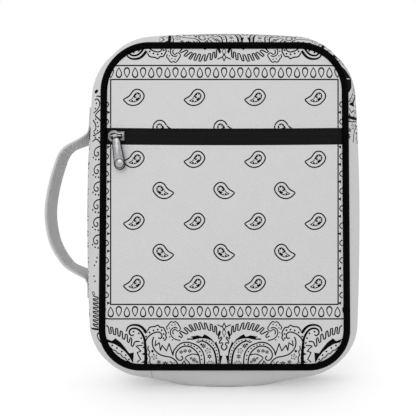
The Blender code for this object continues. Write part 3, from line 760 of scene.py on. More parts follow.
def border_half():
    """The left half of the lower border, from the row of drops out to the piping."""
    marks = []
    left_arch = (
        (105.9, 325.6), (108.2, 327.3), (110.3, 333.4), (111.6, 327.3), (114.7, 334.6),
        (116.6, 328.5), (118.9, 336.1), (121.3, 331.3), (123.6, 339.0), (126.5, 334.4),
        (128.2, 342.2), (131.1, 338.2), (132.0, 346.0), (135.4, 341.8), (139.6, 341.6),
    )
    marks += meander(left_arch)
    marks += stroke((
        (126.3, 331.5), (127.6, 327.7), (130.9, 325.4), (135.1, 324.9), (139.4, 325.8),
        (143.1, 328.5), (146.5, 333.1),
    ), LINE, taper=2.2)
    marks += stroke((
        (133.9, 334.6), (132.0, 335.7), (129.7, 334.0), (129.3, 331.5), (130.9, 329.1),
        (134.3, 328.3), (137.7, 329.1), (140.6, 331.5), (142.7, 334.8), (144.4, 339.0),
        (145.0, 343.2), (145.6, 350.0), (145.9, 358.0), (145.5, 366.0),
    ), LINE, taper=2.6)
    for thorn in (((142.1, 347.5), 345.5), ((141.2, 354.2), 352.0), ((141.0, 362.6), 360.0)):
        (column, row), root = thorn
        marks += blob(((column, row), (145.2, root), (145.6, root + 3.6)), curved=False)
    marks += dots(((133.6, 331.7), (138.8, 333.4), (141.2, 338.2), (142.4, 343.0)))
    marks += straight_stroke((
        (142.1, 345.4), (137.7, 345.6), (136.2, 346.4), (138.9, 348.7), (140.8, 351.2),
        (137.2, 352.5), (138.9, 356.3), (140.6, 359.2), (137.2, 362.2),
    ), FINE)
    marks += blob((
        (105.7, 339.0), (112.0, 341.0), (115.4, 338.2), (120.8, 342.4), (125.0, 347.5),
        (129.3, 353.3), (133.9, 352.5), (133.0, 362.6), (132.2, 362.6), (129.3, 356.7),
        (125.0, 351.7), (120.0, 347.5), (114.5, 344.1), (107.8, 342.6),
    ), curved=False)
    marks += dots(((112.2, 345.5), (116.9, 348.0), (121.8, 351.5), (125.7, 355.2), (128.9, 359.5)))
    marks += stroke((
        (107.5, 346.6), (110.3, 347.7), (112.6, 350.2), (115.4, 350.6), (117.5, 353.4),
        (120.6, 354.2), (122.4, 357.0), (125.2, 358.2), (127.0, 361.0), (129.6, 362.2), (130.8, 366.0),
    ), FINE)
    marks += blob((
        (107.0, 350.0), (111.0, 354.0), (115.5, 356.5), (119.5, 361.0), (124.0, 366.0), (108.0, 366.0),
    ), curved=False)

    # Scalloped paisley with its curl
    marks += stroke((
        (147.4, 331.0), (149.4, 327.6), (152.0, 326.8), (155.3, 326.4), (157.9, 325.1), (160.0, 327.3),
        (162.9, 327.3), (164.7, 329.7), (166.2, 332.8), (165.6, 335.5), (166.5, 337.7), (164.2, 340.8),
    ), LINE)
    marks += dots((
        (146.1, 336.6), (149.6, 332.5), (153.5, 330.4), (157.7, 329.5), (161.7, 330.2),
        (163.6, 333.9), (163.4, 338.2),
    ))
    marks += stroke((
        (145.0, 344.1), (146.1, 339.9), (148.6, 336.5), (152.0, 333.8), (155.8, 332.3),
        (159.1, 332.1), (161.5, 334.0), (161.9, 336.5), (160.4, 338.6), (158.3, 337.8),
    ), LINE)
    marks += stroke((
        (153.7, 336.9), (152.4, 341.1), (152.6, 345.4), (154.1, 349.1), (157.0, 352.5), (160.8, 355.0),
        (166.5, 356.5), (170.9, 357.4), (174.5, 359.6), (176.7, 362.3), (177.6, 365.0),
    ), LINE)
    marks += straight_stroke((
        (155.8, 340.7), (155.1, 345.8), (159.3, 342.8), (160.4, 350.4), (162.2, 345.3),
        (166.5, 350.9), (169.1, 343.7), (172.9, 355.1),
    ), FINE)
    marks += stroke((
        (148.6, 345.8), (147.9, 349.0), (149.6, 352.0), (148.6, 355.0), (150.2, 358.0),
        (149.6, 361.5), (151.6, 366.0),
    ), FINE)
    marks += dots(((146.9, 350.6), (147.1, 354.2), (147.4, 358.2), (148.4, 362.8), (174.1, 362.5)), 0.7)
    marks += disc((152.4, 351.2), 1.4)
    marks += ringed_flower((154.5, 356.7), 3.2, 5)
    marks += flower((158.7, 362.2), 2.3, 5, INK, CLOTH)
    marks += flower((165.3, 364.1), 3.0, 6, INK, CLOTH)
    marks += stroke(((169.8, 361.4), (171.6, 362.8), (173.0, 366.0)), FINE)

    # Small scalloped paisley beside the arch
    marks += stroke((
        (167.4, 329.7), (166.5, 327.0), (168.3, 325.2), (169.6, 323.0), (171.6, 321.6), (173.6, 322.5),
        (175.4, 321.4), (177.6, 323.4), (179.4, 326.1), (180.5, 328.3), (179.9, 330.1), (178.1, 331.2),
        (176.7, 330.6), (174.9, 329.2), (172.9, 331.0), (172.7, 332.8), (173.6, 334.4),
    ), FINE)
    marks += dots((
        (171.9, 325.2), (175.1, 324.5), (169.4, 328.0), (168.5, 332.6), (169.7, 336.9), (172.4, 339.9),
    ), 0.75)
    marks += stroke((
        (177.6, 328.3), (174.5, 327.4), (171.4, 329.2), (170.3, 332.4), (171.4, 335.9),
        (174.1, 338.6), (177.2, 339.9), (180.5, 340.4),
    ), FINE)

    # Meander arch over the big paisley
    upper = (
        (180.5, 331.9), (184.8, 327.9), (189.7, 325.0), (194.8, 323.7), (199.7, 322.8),
        (205.1, 323.2), (211.1, 324.3), (215.6, 326.3), (220.0, 331.5),
    )
    lower = (
        (182.1, 336.8), (187.4, 333.5), (191.7, 331.2), (195.3, 330.3), (199.7, 329.5),
        (204.4, 329.0), (209.5, 330.3), (213.8, 331.7), (217.4, 334.8),
    )
    arch = [(178.5, 335.9)]
    for low, high in zip(lower, upper):
        arch += [low, high]
    arch += [(218.7, 338.2), (221.8, 337.7), (219.6, 342.4), (222.5, 343.5), (221.4, 347.1), (223.8, 350.4)]
    marks += meander(arch)

    # Flame leaves
    marks += straight_stroke(((187.4, 339.1), (194.0, 339.1)), 1.4)
    marks += blob((
        (190.6, 336.6), (197.7, 335.3), (202.2, 336.8), (204.6, 334.1), (208.4, 336.4), (212.0, 339.1),
        (214.7, 343.1), (216.2, 341.3), (217.4, 344.9), (219.6, 350.2), (220.3, 355.6), (222.7, 355.6),
        (221.4, 360.0), (220.5, 366.0), (219.6, 366.0), (219.1, 360.0), (218.9, 354.7), (217.4, 348.9),
        (214.7, 344.0), (211.1, 340.4), (205.8, 338.6), (199.9, 338.4), (194.1, 339.6),
    ), curved=False)
    marks += dots((
        (198.4, 340.2), (202.6, 339.9), (206.4, 340.5), (209.4, 341.6), (211.6, 343.4), (213.3, 345.3),
        (214.7, 347.8), (216.2, 350.4), (217.4, 353.9), (217.7, 356.9), (218.3, 360.2), (218.5, 363.3),
    ), 0.75)
    marks += stroke((
        (196.4, 341.5), (198.6, 342.4), (200.8, 341.1), (203.5, 341.3), (207.1, 343.1), (211.1, 346.6),
        (213.8, 350.2), (215.3, 354.7), (216.2, 359.6), (216.5, 366.0),
    ), LINE, taper=1.5)
    marks += flower((203.7, 346.0), 2.5, 6, INK, CLOTH)
    marks += disc((201.3, 344.4), 1.2)
    marks += ringed_flower((208.0, 350.7), 3.1, 5)
    marks += flower((209.5, 356.5), 2.4, 6, INK, CLOTH)
    marks += ringed_flower((210.2, 364.3), 4.0, 8)

    # Big scalloped paisley
    marks += stroke((
        (172.9, 355.1), (173.6, 351.1), (175.4, 348.4), (177.6, 345.8), (180.8, 343.5), (184.3, 342.4),
        (188.8, 342.4), (192.4, 343.5), (195.9, 344.9), (199.1, 347.1), (201.7, 350.2), (203.5, 353.8),
        (204.4, 359.1), (204.4, 366.0),
    ), LINE)
    marks += dots((
        (184.5, 344.4), (188.3, 344.5), (191.3, 345.3), (194.3, 346.4), (197.1, 348.5),
        (199.8, 351.6), (201.4, 355.4), (201.7, 359.5),
    ), 0.85)
    marks += stroke((
        (181.0, 356.2), (182.5, 356.9), (182.8, 358.7), (181.2, 360.3), (178.5, 360.0), (176.5, 357.8),
        (175.8, 355.1), (176.7, 351.6), (179.9, 348.0), (184.3, 346.2), (189.7, 346.6), (194.1, 349.3),
        (197.7, 353.3), (199.5, 357.8), (200.4, 366.0),
    ), LINE)
    for place in ((181.2, 352.0), (185.2, 350.9), (189.7, 350.9)):
        marks += flower(place, 2.1, 6, INK, CLOTH)
    marks += stroke((
        (199.1, 355.3), (193.3, 354.0), (188.8, 355.3), (185.2, 358.0), (188.3, 361.8), (191.0, 366.0),
    ), FINE)
    for place, radius in (((191.0, 358.3), 1.6), ((194.1, 360.0), 2.6), ((197.0, 362.0), 1.6)):
        marks += flower(place, radius, 6, INK, CLOTH)
    marks += straight_stroke(((180.8, 366.0), (184.3, 360.9), (186.3, 366.0)), FINE)
    return marks


def border_marks():
    """The whole lower border with the lily at its middle."""
    half = border_half()
    marks = half + mirrored(half)
    marks += blob((
        (PRINT_MIDDLE, 322.0), (221.8, 326.6), (PRINT_MIDDLE, 331.2), (226.4, 326.6),
    ), curved=False)
    marks += blob((
        (PRINT_MIDDLE, 324.2), (223.0, 326.8), (PRINT_MIDDLE, 329.4), (225.2, 326.8),
    ), CLOTH, curved=False)
    for side in (-1, 1):
        tip = (PRINT_MIDDLE + side * 6.4, 324.8)
        marks += straight_stroke((tip, (PRINT_MIDDLE + side * 2.2, 326.8)), FINE)
    bead = [(PRINT_MIDDLE + 1.7 * math.cos(math.tau * i / 10), 332.4 + 2.9 * math.sin(math.tau * i / 10))
            for i in range(10)]
    marks += stroke(bead, 0.7, closed=True)
    marks += dots(((PRINT_MIDDLE, 328.8), (PRINT_MIDDLE, 336.4)), 0.7)
    return marks


def panel_marks():
    """All that is printed on a panel."""
    lower = border_marks()
    return lower + upended(lower) + frame_marks() + field_marks()


def seen_on_front(spot):
    """Place on the front, in mm, that the photograph shows at this column and row."""
    across = (spot.x - PHOTO_SIDE / 2) / FOCAL_COLUMNS
    down = (spot.y - PHOTO_SIDE / 2) / FOCAL_COLUMNS
    x, z = 0.0, MIDDLE_Z
    for _ in range(3):
        reach = front_face_y(x, z) - CAMERA_PLACE.y
        x = CAMERA_PLACE.x + across * reach
        z = CAMERA_PLACE.z - down * reach
    return Vector((x * MM, z * MM))


def laid_on_front(marks):
    return [(colour, [seen_on_front(point) for point in polygon]) for colour, polygon in marks]


# Print of the gusset, as its own stretches of cloth show it

def spine_spot(spot):
    """Place on the left gusset, in mm, that the photograph shows at this column and row."""
    reach = -HALF_DEPTH + 0.010 - CAMERA_PLACE.y
    z = CAMERA_PLACE.z - (spot.y - PHOTO_SIDE / 2) / FOCAL_COLUMNS * reach
    run = RUNS[3]
    along = SPINE_START + run[1][1] * math.pi / 4 + (z - MIDDLE_Z - run[1][0].y)
    swell = rim(along)[2]
    edge_column = 100.4
    out = (edge_column - spot.x) * reach / FOCAL_COLUMNS
    share = min(max((out + SEAM_INSET) / (swell + SEAM_INSET), 0.0), 0.97)
    depth = -GUSSET_SEAM_Y * math.sqrt(1 - share)
    return Vector((along * MM, depth * MM))


def laid_on_spine(marks):
    return [(colour, [spine_spot(point) for point in polygon]) for colour, polygon in marks]


def spine_strip_marks():
    """What shows of the print on the strip of gusset left of the front."""
    marks = blob(((96.6, 90.6), (93.0, 90.2), (91.6, 92.4), (95.2, 93.4)))
    marks += stroke(((94.5, 96.3), (97.6, 97.0), (100.6, 98.4)), LINE)
    marks += stroke((
        (92.2, 99.9), (94.5, 99.0), (97.5, 101.1), (98.7, 104.5), (97.5, 108.0), (94.8, 110.7), (91.0, 112.6),
    ), LINE)
    marks += dots(((94.7, 103.4), (93.2, 108.4)))
    marks += stroke((
        (100.0, 110.7), (96.0, 112.6), (93.3, 115.6), (95.6, 117.6), (97.5, 119.5), (99.8, 121.8),
    ), LINE)
    marks += dots(((93.9, 119.2), (96.1, 123.0), (97.0, 127.0), (96.3, 131.1), (92.5, 133.1)))
    marks += stroke(((90.4, 119.5), (92.9, 122.9), (94.3, 126.7), (93.7, 129.8), (91.0, 131.3)), LINE)
    marks += stroke(((90.6, 134.8), (92.5, 135.7), (95.2, 134.0), (97.9, 133.2), (99.8, 131.7)), LINE)
    marks += dots(((93.7, 137.6), (98.4, 138.4)))
    marks += stroke(((89.9, 141.5), (94.1, 139.2), (97.9, 141.3), (99.8, 144.0)), LINE)
    for row in range(6):
        top = 147.0 + row * 17.5
        marks += stroke((
            (99.6, top), (95.4, top + 1.2), (92.6, top + 4.6), (93.6, top + 8.6), (97.0, top + 9.2),
            (97.8, top + 6.2), (95.8, top + 5.2),
        ), LINE)
        marks += dots(((91.4, top + 10.4), (94.6, top + 12.6), (98.2, top + 13.0)))
    marks += dots(((97.0, 257.3), (96.1, 261.5), (93.9, 265.2), (93.4, 276.1), (94.7, 281.1)))
    marks += disc((92.7, 293.5), 2.0) + disc((92.7, 293.5), 1.1, CLOTH)
    coil = []
    for turn in range(8):
        row = 296.0 + turn * 4.2
        coil += [(92.4, row), (98.6, row + 0.8), (98.6, row + 2.4), (92.4, row + 3.0)]
    marks += stroke(coil, LINE)
    marks += straight_stroke(((90.0, 329.0), (100.6, 328.5)), LINE)
    marks += stroke(((100.1, 330.7), (96.8, 334.0), (98.0, 338.6), (100.8, 344.1)), LINE)
    return marks


def laid_along(marks, start, flip=False):
    """Border marks laid along the gusset, in mm: the piping's row of the chart at the front seam."""
    scale = 0.79
    laid = []
    for colour, polygon in marks:
        ring = []
        for point in polygon:
            along = (point.x - FRAME_LEFT) * scale
            depth = -GUSSET_SEAM_Y * MM + (366.0 - point.y) * scale
            ring.append(Vector((start + (-along if flip else along), depth)))
        laid.append((colour, ring))
    return laid


def within(marks, low, high):
    """The marks that lie wholly between two distances along the gusset."""
    return [
        (colour, polygon) for colour, polygon in marks
        if all(low < point.x < high for point in polygon)
    ]


def gusset_front_marks():
    """Border print over the top, and down the right side to the height of the pocket zip."""
    run = RUNS[1]
    edge = RUNS[0][4] + run[1][1] * math.pi / 4
    print_end = (edge + 0.040) * MM
    border = border_marks()
    marks = laid_along(border, ZIP_START * MM - 20.0)
    marks += laid_along(border, ZIP_START * MM + 165.0)
    return within(marks, ZIP_START * MM, print_end)


def spine_marks():
    """Border print down the spine, with the strip that the photograph shows along its front seam."""
    border = border_marks() + frame_marks()
    low = (ZIP_END + SEAM_GAP) * MM
    high = (RIM_LENGTH + ZIP_START - SEAM_GAP) * MM
    strip = laid_on_spine(spine_strip_marks())
    edge = -GUSSET_SEAM_Y * MM * 0.42
    behind = [
        (colour, [point + Vector((0.0, 16.0)) for point in polygon])
        for colour, polygon in laid_along(border, low + 40.0)
    ]
    behind = [mark for mark in behind if all(point.y > edge for point in mark[1])]
    return within(behind, low + 40.0, high) + strip


# Materials

def linear(hex_colour):
    """An sRGB hex colour as linear red, green, blue and alpha."""
    values = [int(hex_colour[i:i + 2], 16) / 255 for i in (0, 2, 4)]
    return (*[v / 12.92 if v <= 0.04045 else ((v + 0.055) / 1.055) ** 2.4 for v in values], 1.0)


def add_node(tree, kind, inputs=None, **settings):
    """Add a node with its settings; an input is a value, or another node's output to link."""
    node = tree.nodes.new(kind)
    for name, value in settings.items():
        setattr(node, name, value)
    for socket, value in (inputs or {}).items():
        if isinstance(value, bpy.types.NodeSocket):
            tree.links.new(value, node.inputs[socket])
        else:
            node.inputs[socket].default_value = value
    return node


def new_material(name, roughness, metallic=0.0, ior=1.5, sheen=0.0, specular=0.5):
    """An empty material with its shader."""
    material = bpy.data.materials.new(name)
    material.use_nodes = True
    tree = material.node_tree
    tree.nodes.clear()
    shader = add_node(tree, "ShaderNodeBsdfPrincipled", {
        "Roughness": roughness, "Metallic": metallic, "IOR": ior, "Sheen Weight": sheen,
        "Sheen Roughness": 0.5, "Specular IOR Level": specular,
    })
    output = add_node(tree, "ShaderNodeOutputMaterial", {"Surface": shader.outputs["BSDF"]})
    output.target = "ALL"
    return material, tree, shader


def weave_height(tree, pitch_mm):
    """Over and under of a plain weave, 0 to 1, at a thread pitch on the flat cloth."""
    flat = add_node(tree, "ShaderNodeUVMap", uv_map="cloth")
    parts = add_node(tree, "ShaderNodeSeparateXYZ", {0: flat.outputs["UV"]})
    waves = []
    for axis in ("X", "Y"):
        turned = add_node(tree, "ShaderNodeMath", {0: parts.outputs[axis], 1: math.pi / (pitch_mm / MM)},
                          operation="MULTIPLY")
        wave = add_node(tree, "ShaderNodeMath", {0: turned.outputs[0]}, operation="SINE")
        waves.append(wave.outputs[0])
    both = add_node(tree, "ShaderNodeMath", {0: waves[0], 1: waves[1]}, operation="MULTIPLY")
    height = add_node(tree, "ShaderNodeMath", {0: both.outputs[0], 1: 0.5, 2: 0.5}, operation="MULTIPLY_ADD")
    return height.outputs[0]


def woven_cotton(name, light_hex, dark_hex, pitch_mm, bump_mm, roughness=0.92, sheen=0.0, specular=0.2):
    """Woven cotton: threads a shade lighter and darker, and a soft unevenness in the dye.

    The threads are 0.25 mm apart in the real cloth, and drawn coarser so that they show.
    """
    material, tree, shader = new_material(name, roughness, sheen=sheen, specular=specular)
    place = add_node(tree, "ShaderNodeTexCoord")
    weave = weave_height(tree, pitch_mm)
    clouds = add_node(tree, "ShaderNodeTexNoise", {
        "Vector": place.outputs["Object"], "Scale": 1 / 0.011, "Detail": 4.0, "Roughness": 0.6,
    })
    slubs = add_node(tree, "ShaderNodeTexNoise", {
        "Vector": place.outputs["Object"], "Scale": 1 / 0.0011, "Detail": 2.0,
    })
    mix = add_node(tree, "ShaderNodeMath", {0: weave, 1: slubs.outputs["Fac"]}, operation="ADD")
    shade = add_node(tree, "ShaderNodeMath", {0: mix.outputs[0], 1: clouds.outputs["Fac"]}, operation="ADD")
    third = add_node(tree, "ShaderNodeMath", {0: shade.outputs[0], 1: 1 / 3}, operation="MULTIPLY")
    colour = add_node(tree, "ShaderNodeMixRGB", {
        "Fac": third.outputs[0], "Color1": linear(dark_hex), "Color2": linear(light_hex),
    })
    tree.links.new(colour.outputs[0], shader.inputs["Base Color"])
    bump = add_node(tree, "ShaderNodeBump", {
        "Height": mix.outputs[0], "Strength": 0.5, "Distance": bump_mm / MM,
    })
    tree.links.new(bump.outputs["Normal"], shader.inputs["Normal"])
    return material


def cast_metal(name, light_hex, dark_hex, roughness):
    """Die-cast zinc with a nickel plate: grey, a little cloudy, bright on its edges."""
    material, tree, shader = new_material(name, roughness, metallic=1.0)
    place = add_node(tree, "ShaderNodeTexCoord")
    clouds = add_node(tree, "ShaderNodeTexNoise", {
        "Vector": place.outputs["Object"], "Scale": 1 / 0.0016, "Detail": 3.0,
    })
    colour = add_node(tree, "ShaderNodeMixRGB", {
        "Fac": clouds.outputs["Fac"], "Color1": linear(dark_hex), "Color2": linear(light_hex),
    })
    tree.links.new(colour.outputs[0], shader.inputs["Base Color"])
    bump = add_node(tree, "ShaderNodeBump", {
        "Height": clouds.outputs["Fac"], "Strength": 0.25, "Distance": 0.00006,
    })
    tree.links.new(bump.outputs["Normal"], shader.inputs["Normal"])
    return material


cloth = woven_cotton("cotton_poplin_bare", "c4c4c4", "b4b4b4", 0.9, 0.10, sheen=0.05)
ink = woven_cotton("cotton_poplin_black_print", "0a0a0a", "040404", 0.9, 0.08, specular=0.05)
lining = woven_cotton("cotton_poplin_inside", "bcbcbc", "acacac", 0.9, 0.10)
plain_cotton = woven_cotton("cotton_poplin_plain", "c4c4c4", "b4b4b4", 0.9, 0.10, sheen=0.05)
strap_cotton = woven_cotton("cotton_twill_strap", "c2c2c2", "aeaeae", 1.1, 0.16, sheen=0.05)
black_tape = woven_cotton("cotton_bias_tape_black", "040404", "020202", 0.9, 0.08, specular=0.05)
zip_fabric = woven_cotton("polyester_zip_tape", "161616", "0e0e0e", 1.1, 0.10, 0.85, specular=0.08)
coil = woven_cotton("polyester_zip_coil", "2a2a2a", "1c1c1c", 0.9, 0.03, 0.5, specular=0.4)
nickel = cast_metal("zinc_nickel_plated", "b4b4b6", "707072", 0.34)
# Darker copy of the nickel as painted shade: it darkens the slider's channel, the tab's edges and the groove
# round its disc.
nickel_painted_shade = cast_metal("zinc_nickel_painted_shade", "3a3a3c", "1c1c1e", 0.5)
thread_grey = woven_cotton("polyester_thread_grey", "dcdcdc", "cccccc", 0.4, 0.02, 0.6, sheen=0.1)
printed = (cloth, ink, lining)


# Front panels

def finish(piece, node, body="bag"):
    """Let a piece ride and stand for its node."""
    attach(piece, body)
    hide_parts(node)
    return piece


front_marks = laid_on_front(panel_marks())
field_outline = rim_outline(PANEL_INSET)
tape_low = zip_edge(-POCKET_TAPE_HEIGHT / 2)
tape_high = zip_edge(POCKET_TAPE_HEIGHT / 2)
above_tape = zip_edge(POCKET_TAPE_HEIGHT / 2 + SEAM_GAP)
below_tape = zip_edge(-POCKET_TAPE_HEIGHT / 2 - SEAM_GAP)


def marks_near(marks, outline):
    """The marks that reach into an outline's box."""
    low = Vector((min(p.x for p in outline), min(p.y for p in outline)))
    high = Vector((max(p.x for p in outline), max(p.y for p in outline)))
    kept = []
    for colour, polygon in marks:
        xs = [p.x for p in polygon]
        ys = [p.y for p in polygon]
        if max(xs) > low.x and min(xs) < high.x and max(ys) > low.y and min(ys) < high.y:
            kept.append((colour, polygon))
    return kept


upper_outline = cut_outline(field_outline, above_tape, keep_above=True)
lower_outline = cut_outline(field_outline, below_tape, keep_above=False)
finish(cloth_piece(
    "printed_front_top", upper_outline, marks_near(front_marks, upper_outline),
    panel_place, panel_under, printed, PANEL_GRID * MM), "front_top_panel")
finish(cloth_piece(
    "printed_pocket", lower_outline, marks_near(front_marks, lower_outline),
    panel_place, panel_under, printed, PANEL_GRID * MM), "pocket_panel")
finish(cloth_piece(
    "pocket_back", field_outline, [], pocket_wall_place, pocket_wall_under,
    (plain_cotton, plain_cotton, lining), PANEL_GRID * 2 * MM), "pocket_back_wall")
back_marks = [
    (colour, [Vector((-p.x, p.y)) for p in polygon]) for colour, polygon in front_marks
]
finish(cloth_piece(
    "printed_back", field_outline, marks_near(back_marks, field_outline),
    back_place, back_under, printed, PANEL_GRID * MM, flip=True), "back_panel")


# Gusset

def band_outline(start, end, front_y, back_y):
    """Outline of a band of the gusset, in mm along the rim and from front to back."""
    along = [mark * MM for mark in stations(start, end, RIM_STEP)]
    front = [Vector((mark, front_y * MM)) for mark in along]
    back = [Vector((mark, back_y * MM)) for mark in reversed(along)]
    rows = stations(front_y, back_y, 0.004)[1:-1]
    right = [Vector((end * MM, row * MM)) for row in rows]
    left = [Vector((start * MM, row * MM)) for row in reversed(rows)]
    return front + right + back + left


zip_front = MAIN_ZIP_BEHIND_MIDDLE - MAIN_TAPE_WIDTH / 2
zip_back = MAIN_ZIP_BEHIND_MIDDLE + MAIN_TAPE_WIDTH / 2
front_band = band_outline(ZIP_START, ZIP_END, -GUSSET_SEAM_Y, zip_front - SEAM_GAP)
finish(cloth_piece(
    "printed_gusset_front", front_band, gusset_front_marks(), gusset_place, gusset_under,
    printed, 4.0), "gusset_front_band")
back_band = band_outline(ZIP_START, ZIP_END, zip_back + SEAM_GAP, GUSSET_SEAM_Y)
finish(cloth_piece(
    "plain_gusset_back", back_band, [], gusset_place, gusset_under,
    (plain_cotton, plain_cotton, lining), 4.0), "gusset_back_band")
tape_band = band_outline(ZIP_START, ZIP_END, zip_front, zip_back)
finish(cloth_piece(
    "main_zip", tape_band, [], tape_place, tape_under,
    (zip_fabric, zip_fabric, zip_fabric), 3.0), "main_zip_tape")
spine_band = band_outline(
    ZIP_END + SEAM_GAP, RIM_LENGTH + ZIP_START - SEAM_GAP, -GUSSET_SEAM_Y, GUSSET_SEAM_Y)
finish(cloth_piece(
    "printed_spine", spine_band, spine_marks(), gusset_place, gusset_under,
    printed, 4.0), "spine_panel")


# Piping

def rounds(name, rings, closed, materials, smooth_turn=60.0):
    """Skin a row of like rings, with a map of their real size; open rows get flat ends."""
    builder = bmesh.new()
    cloth_map = builder.loops.layers.uv.new("cloth")
    verts = [[builder.verts.new(point) for point in ring] for ring in rings]
    count = len(rings[0])
    around = [0.0]
    for i in range(count):
        around.append(around[-1] + (rings[0][(i + 1) % count] - rings[0][i]).length)
    marks = [0.0]
    for ring, following in zip(rings, rings[1:] + rings[:1]):
        marks.append(marks[-1] + (following[0] - ring[0]).length)
    rows = list(range(len(rings) if closed else len(rings) - 1))
    for row in rows:
        here = verts[row]
        after = verts[(row + 1) % len(rings)]
        for i in range(count):
            j = (i + 1) % count
            face = builder.faces.new((here[i], here[j], after[j], after[i]))
            face.smooth = True
            corners = ((i, row), (i + 1, row), (i + 1, row + 1), (i, row + 1))
            for corner, (turn, mark) in zip(face.loops, corners):
                corner[cloth_map].uv = (marks[mark], around[turn])
    if not closed:
        builder.faces.new(verts[0][::-1])
        builder.faces.new(verts[-1])
    bmesh.ops.recalc_face_normals(builder, faces=builder.faces)
    mesh = bpy.data.meshes.new(name)
    builder.to_mesh(mesh)
    builder.free()
    mesh.shade_smooth()
    mesh.set_sharp_from_angle(angle=math.radians(smooth_turn))
    return add_piece(name, mesh, materials)


def piping_piece(name, centre_y):
    """Bias tape wrapped round a cord: puckered a little where it turns the corners."""
    rings = []
    sides = 18
    for along in stations(0.0, RIM_LENGTH, 0.0016)[:-1]:
        point, outward, _ = rim(along)
        height_share = abs(point.y) / HALF_HEIGHT
        width_used = abs(point.x) / (MEAN_WIDTH / 2)
        in_corner = max(0.0, min(1.0, (min(height_share, width_used) - 0.72) / 0.2))
        pucker = 1 - 0.035 * (0.25 + in_corner) * (0.5 + 0.5 * math.sin(along * MM * 2.1))
        middle = point - outward * PIPING_RADIUS
        ring = []
        for i in range(sides):
            turn = math.tau * i / sides
            out = math.cos(turn) * PIPING_RADIUS * pucker
            ring.append(Vector((
                middle.x + outward.x * out,
                centre_y + math.sin(turn) * PIPING_RADIUS * pucker,
                MIDDLE_Z + middle.y + outward.y * out,
            )))
        rings.append(ring)
    return rounds(name, rings, True, (black_tape,))


finish(piping_piece("front_welt", -HALF_DEPTH), "front_piping")
finish(piping_piece("back_welt", HALF_DEPTH), "back_piping")


# Pocket zip tape

TAPE_GROOVE = 0.0005
TAPE_GROOVE_HALF = 0.0006
TAPE_COIL_RISE = 0.00035
TAPE_COIL_HALF = 0.0030
TAPE_EDGE_RISE = 0.0005
TAPE_EDGE_HALF = 0.0007


def pocket_tape_relief(across):
    """Height of the tape's face: a groove where its halves meet, the coil below, folded edges."""
    middle = abs(across)
    groove = TAPE_GROOVE * max(0.0, 1 - middle / TAPE_GROOVE_HALF)
    over_coil = TAPE_COIL_RISE * max(0.0, 1 - (middle / TAPE_COIL_HALF) ** 4)
    from_edge = abs(middle - (POCKET_TAPE_HEIGHT / 2 - TAPE_EDGE_HALF))
    fold = TAPE_EDGE_RISE * math.sqrt(max(0.0, 1 - (from_edge / TAPE_EDGE_HALF) ** 2))
    return over_coil + fold - groove


def pocket_tape_place(spot):
    x, z = spot.x / MM, spot.y / MM
    relief = pocket_tape_relief(z - zip_height(x))
    dip = seam_dip(x, z) * 0.8
    return Vector((x, front_face_y(x, z) + SEAM_GAP + TAPE_EDGE_RISE - relief + dip, z))


def pocket_tape_under(spot):
    x, z = spot.x / MM, spot.y / MM
    return Vector((x, front_face_y(x, z) + SEAM_GAP + POCKET_TAPE_THICKNESS + 0.0004, z))


TAPE_RELIEF_ROWS_MM = (-5.2, -4.9, -3.0, -2.4, -0.6, 0.0, 0.6, 2.4, 3.0, 4.9, 5.2)
TAPE_RELIEF_STEPS = 63
TAPE_RELIEF_REACH = 0.0925


def tape_rows():
    """Marks along the tape, of bare cloth, that give its relief points to stand on."""
    marks = []
    for across in TAPE_RELIEF_ROWS_MM:
        points = []
        for i in range(TAPE_RELIEF_STEPS + 1):
            x = TAPE_RELIEF_REACH * (2 * i / TAPE_RELIEF_STEPS - 1)
            points.append(Vector((x * MM, zip_height(x) * MM + across)))
        marks.append((CLOTH, points + [p + Vector((0.0, 0.01)) for p in reversed(points)]))
    return marks


tape_outline = cut_outline(cut_outline(field_outline, tape_low, keep_above=True), tape_high, keep_above=False)
finish(cloth_piece(
    "pocket_zip_band", tape_outline, tape_rows(), pocket_tape_place, pocket_tape_under,
    (zip_fabric, zip_fabric, zip_fabric), 4.0), "pocket_zip_tape")


# Stitching

def stitch(builder, middle, along, out, length, width):
    """One stitch: a short thread that stands up in its middle."""
    across = out.cross(along).normalized()
    rings = []
    for share, thick in ((-0.5, 0.25), (-0.25, 0.9), (0.25, 0.9), (0.5, 0.25)):
        centre = middle + along * length * share + out * width * 0.25
        rings.append([
            builder.verts.new(centre + (across * math.cos(turn) + out * math.sin(turn)) * width / 2 * thick)
            for turn in (math.tau * i / 5 for i in range(5))
        ])
    for ring, following in zip(rings, rings[1:]):
        for i in range(5):
            j = (i + 1) % 5
            builder.faces.new((ring[i], ring[j], following[j], following[i])).smooth = True
    builder.faces.new(rings[0][::-1])
    builder.faces.new(rings[-1])


def stitch_rows(name, rows, material, length=0.0021, gap=0.0007, width=0.00042):
    """Rows of stitches; each row is a list of (point, outward direction)."""
    builder = bmesh.new()
    for row in rows:
        travelled = 0.0
        for (here, here_out), (after, after_out) in zip(row, row[1:]):
            step = (after - here).length
            while travelled < step:
                share = travelled / step
                along = (after - here).normalized()
                out = here_out.lerp(after_out, share).normalized()
                stitch(builder, here.lerp(after, share), along, out, length, width)
                travelled += length + gap
            travelled -= step
    bmesh.ops.recalc_face_normals(builder, faces=builder.faces)
    mesh = bpy.data.meshes.new(name)
    builder.to_mesh(mesh)
    builder.free()
    return add_piece(name, mesh, (material,))


def front_row(edge_z):
    """Points of a stitched row across the front, at a height that depends on x."""
    row = []
    for i in range(61):
        x = -0.090 + 0.180 * i / 60
        z = edge_z(x * MM) / MM
        row.append((Vector((x, front_face_y(x, z), z)), Vector((0.0, -1.0, 0.0))))
    return row


STITCH_FROM_TAPE = 2.3
pocket_stitches = stitch_rows("pocket_stitches", [
    front_row(zip_edge(-POCKET_TAPE_HEIGHT / 2 - SEAM_GAP - STITCH_FROM_TAPE / MM)),
    front_row(zip_edge(POCKET_TAPE_HEIGHT / 2 + SEAM_GAP + STITCH_FROM_TAPE / MM)),
], thread_grey)
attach(pocket_stitches, "bag")


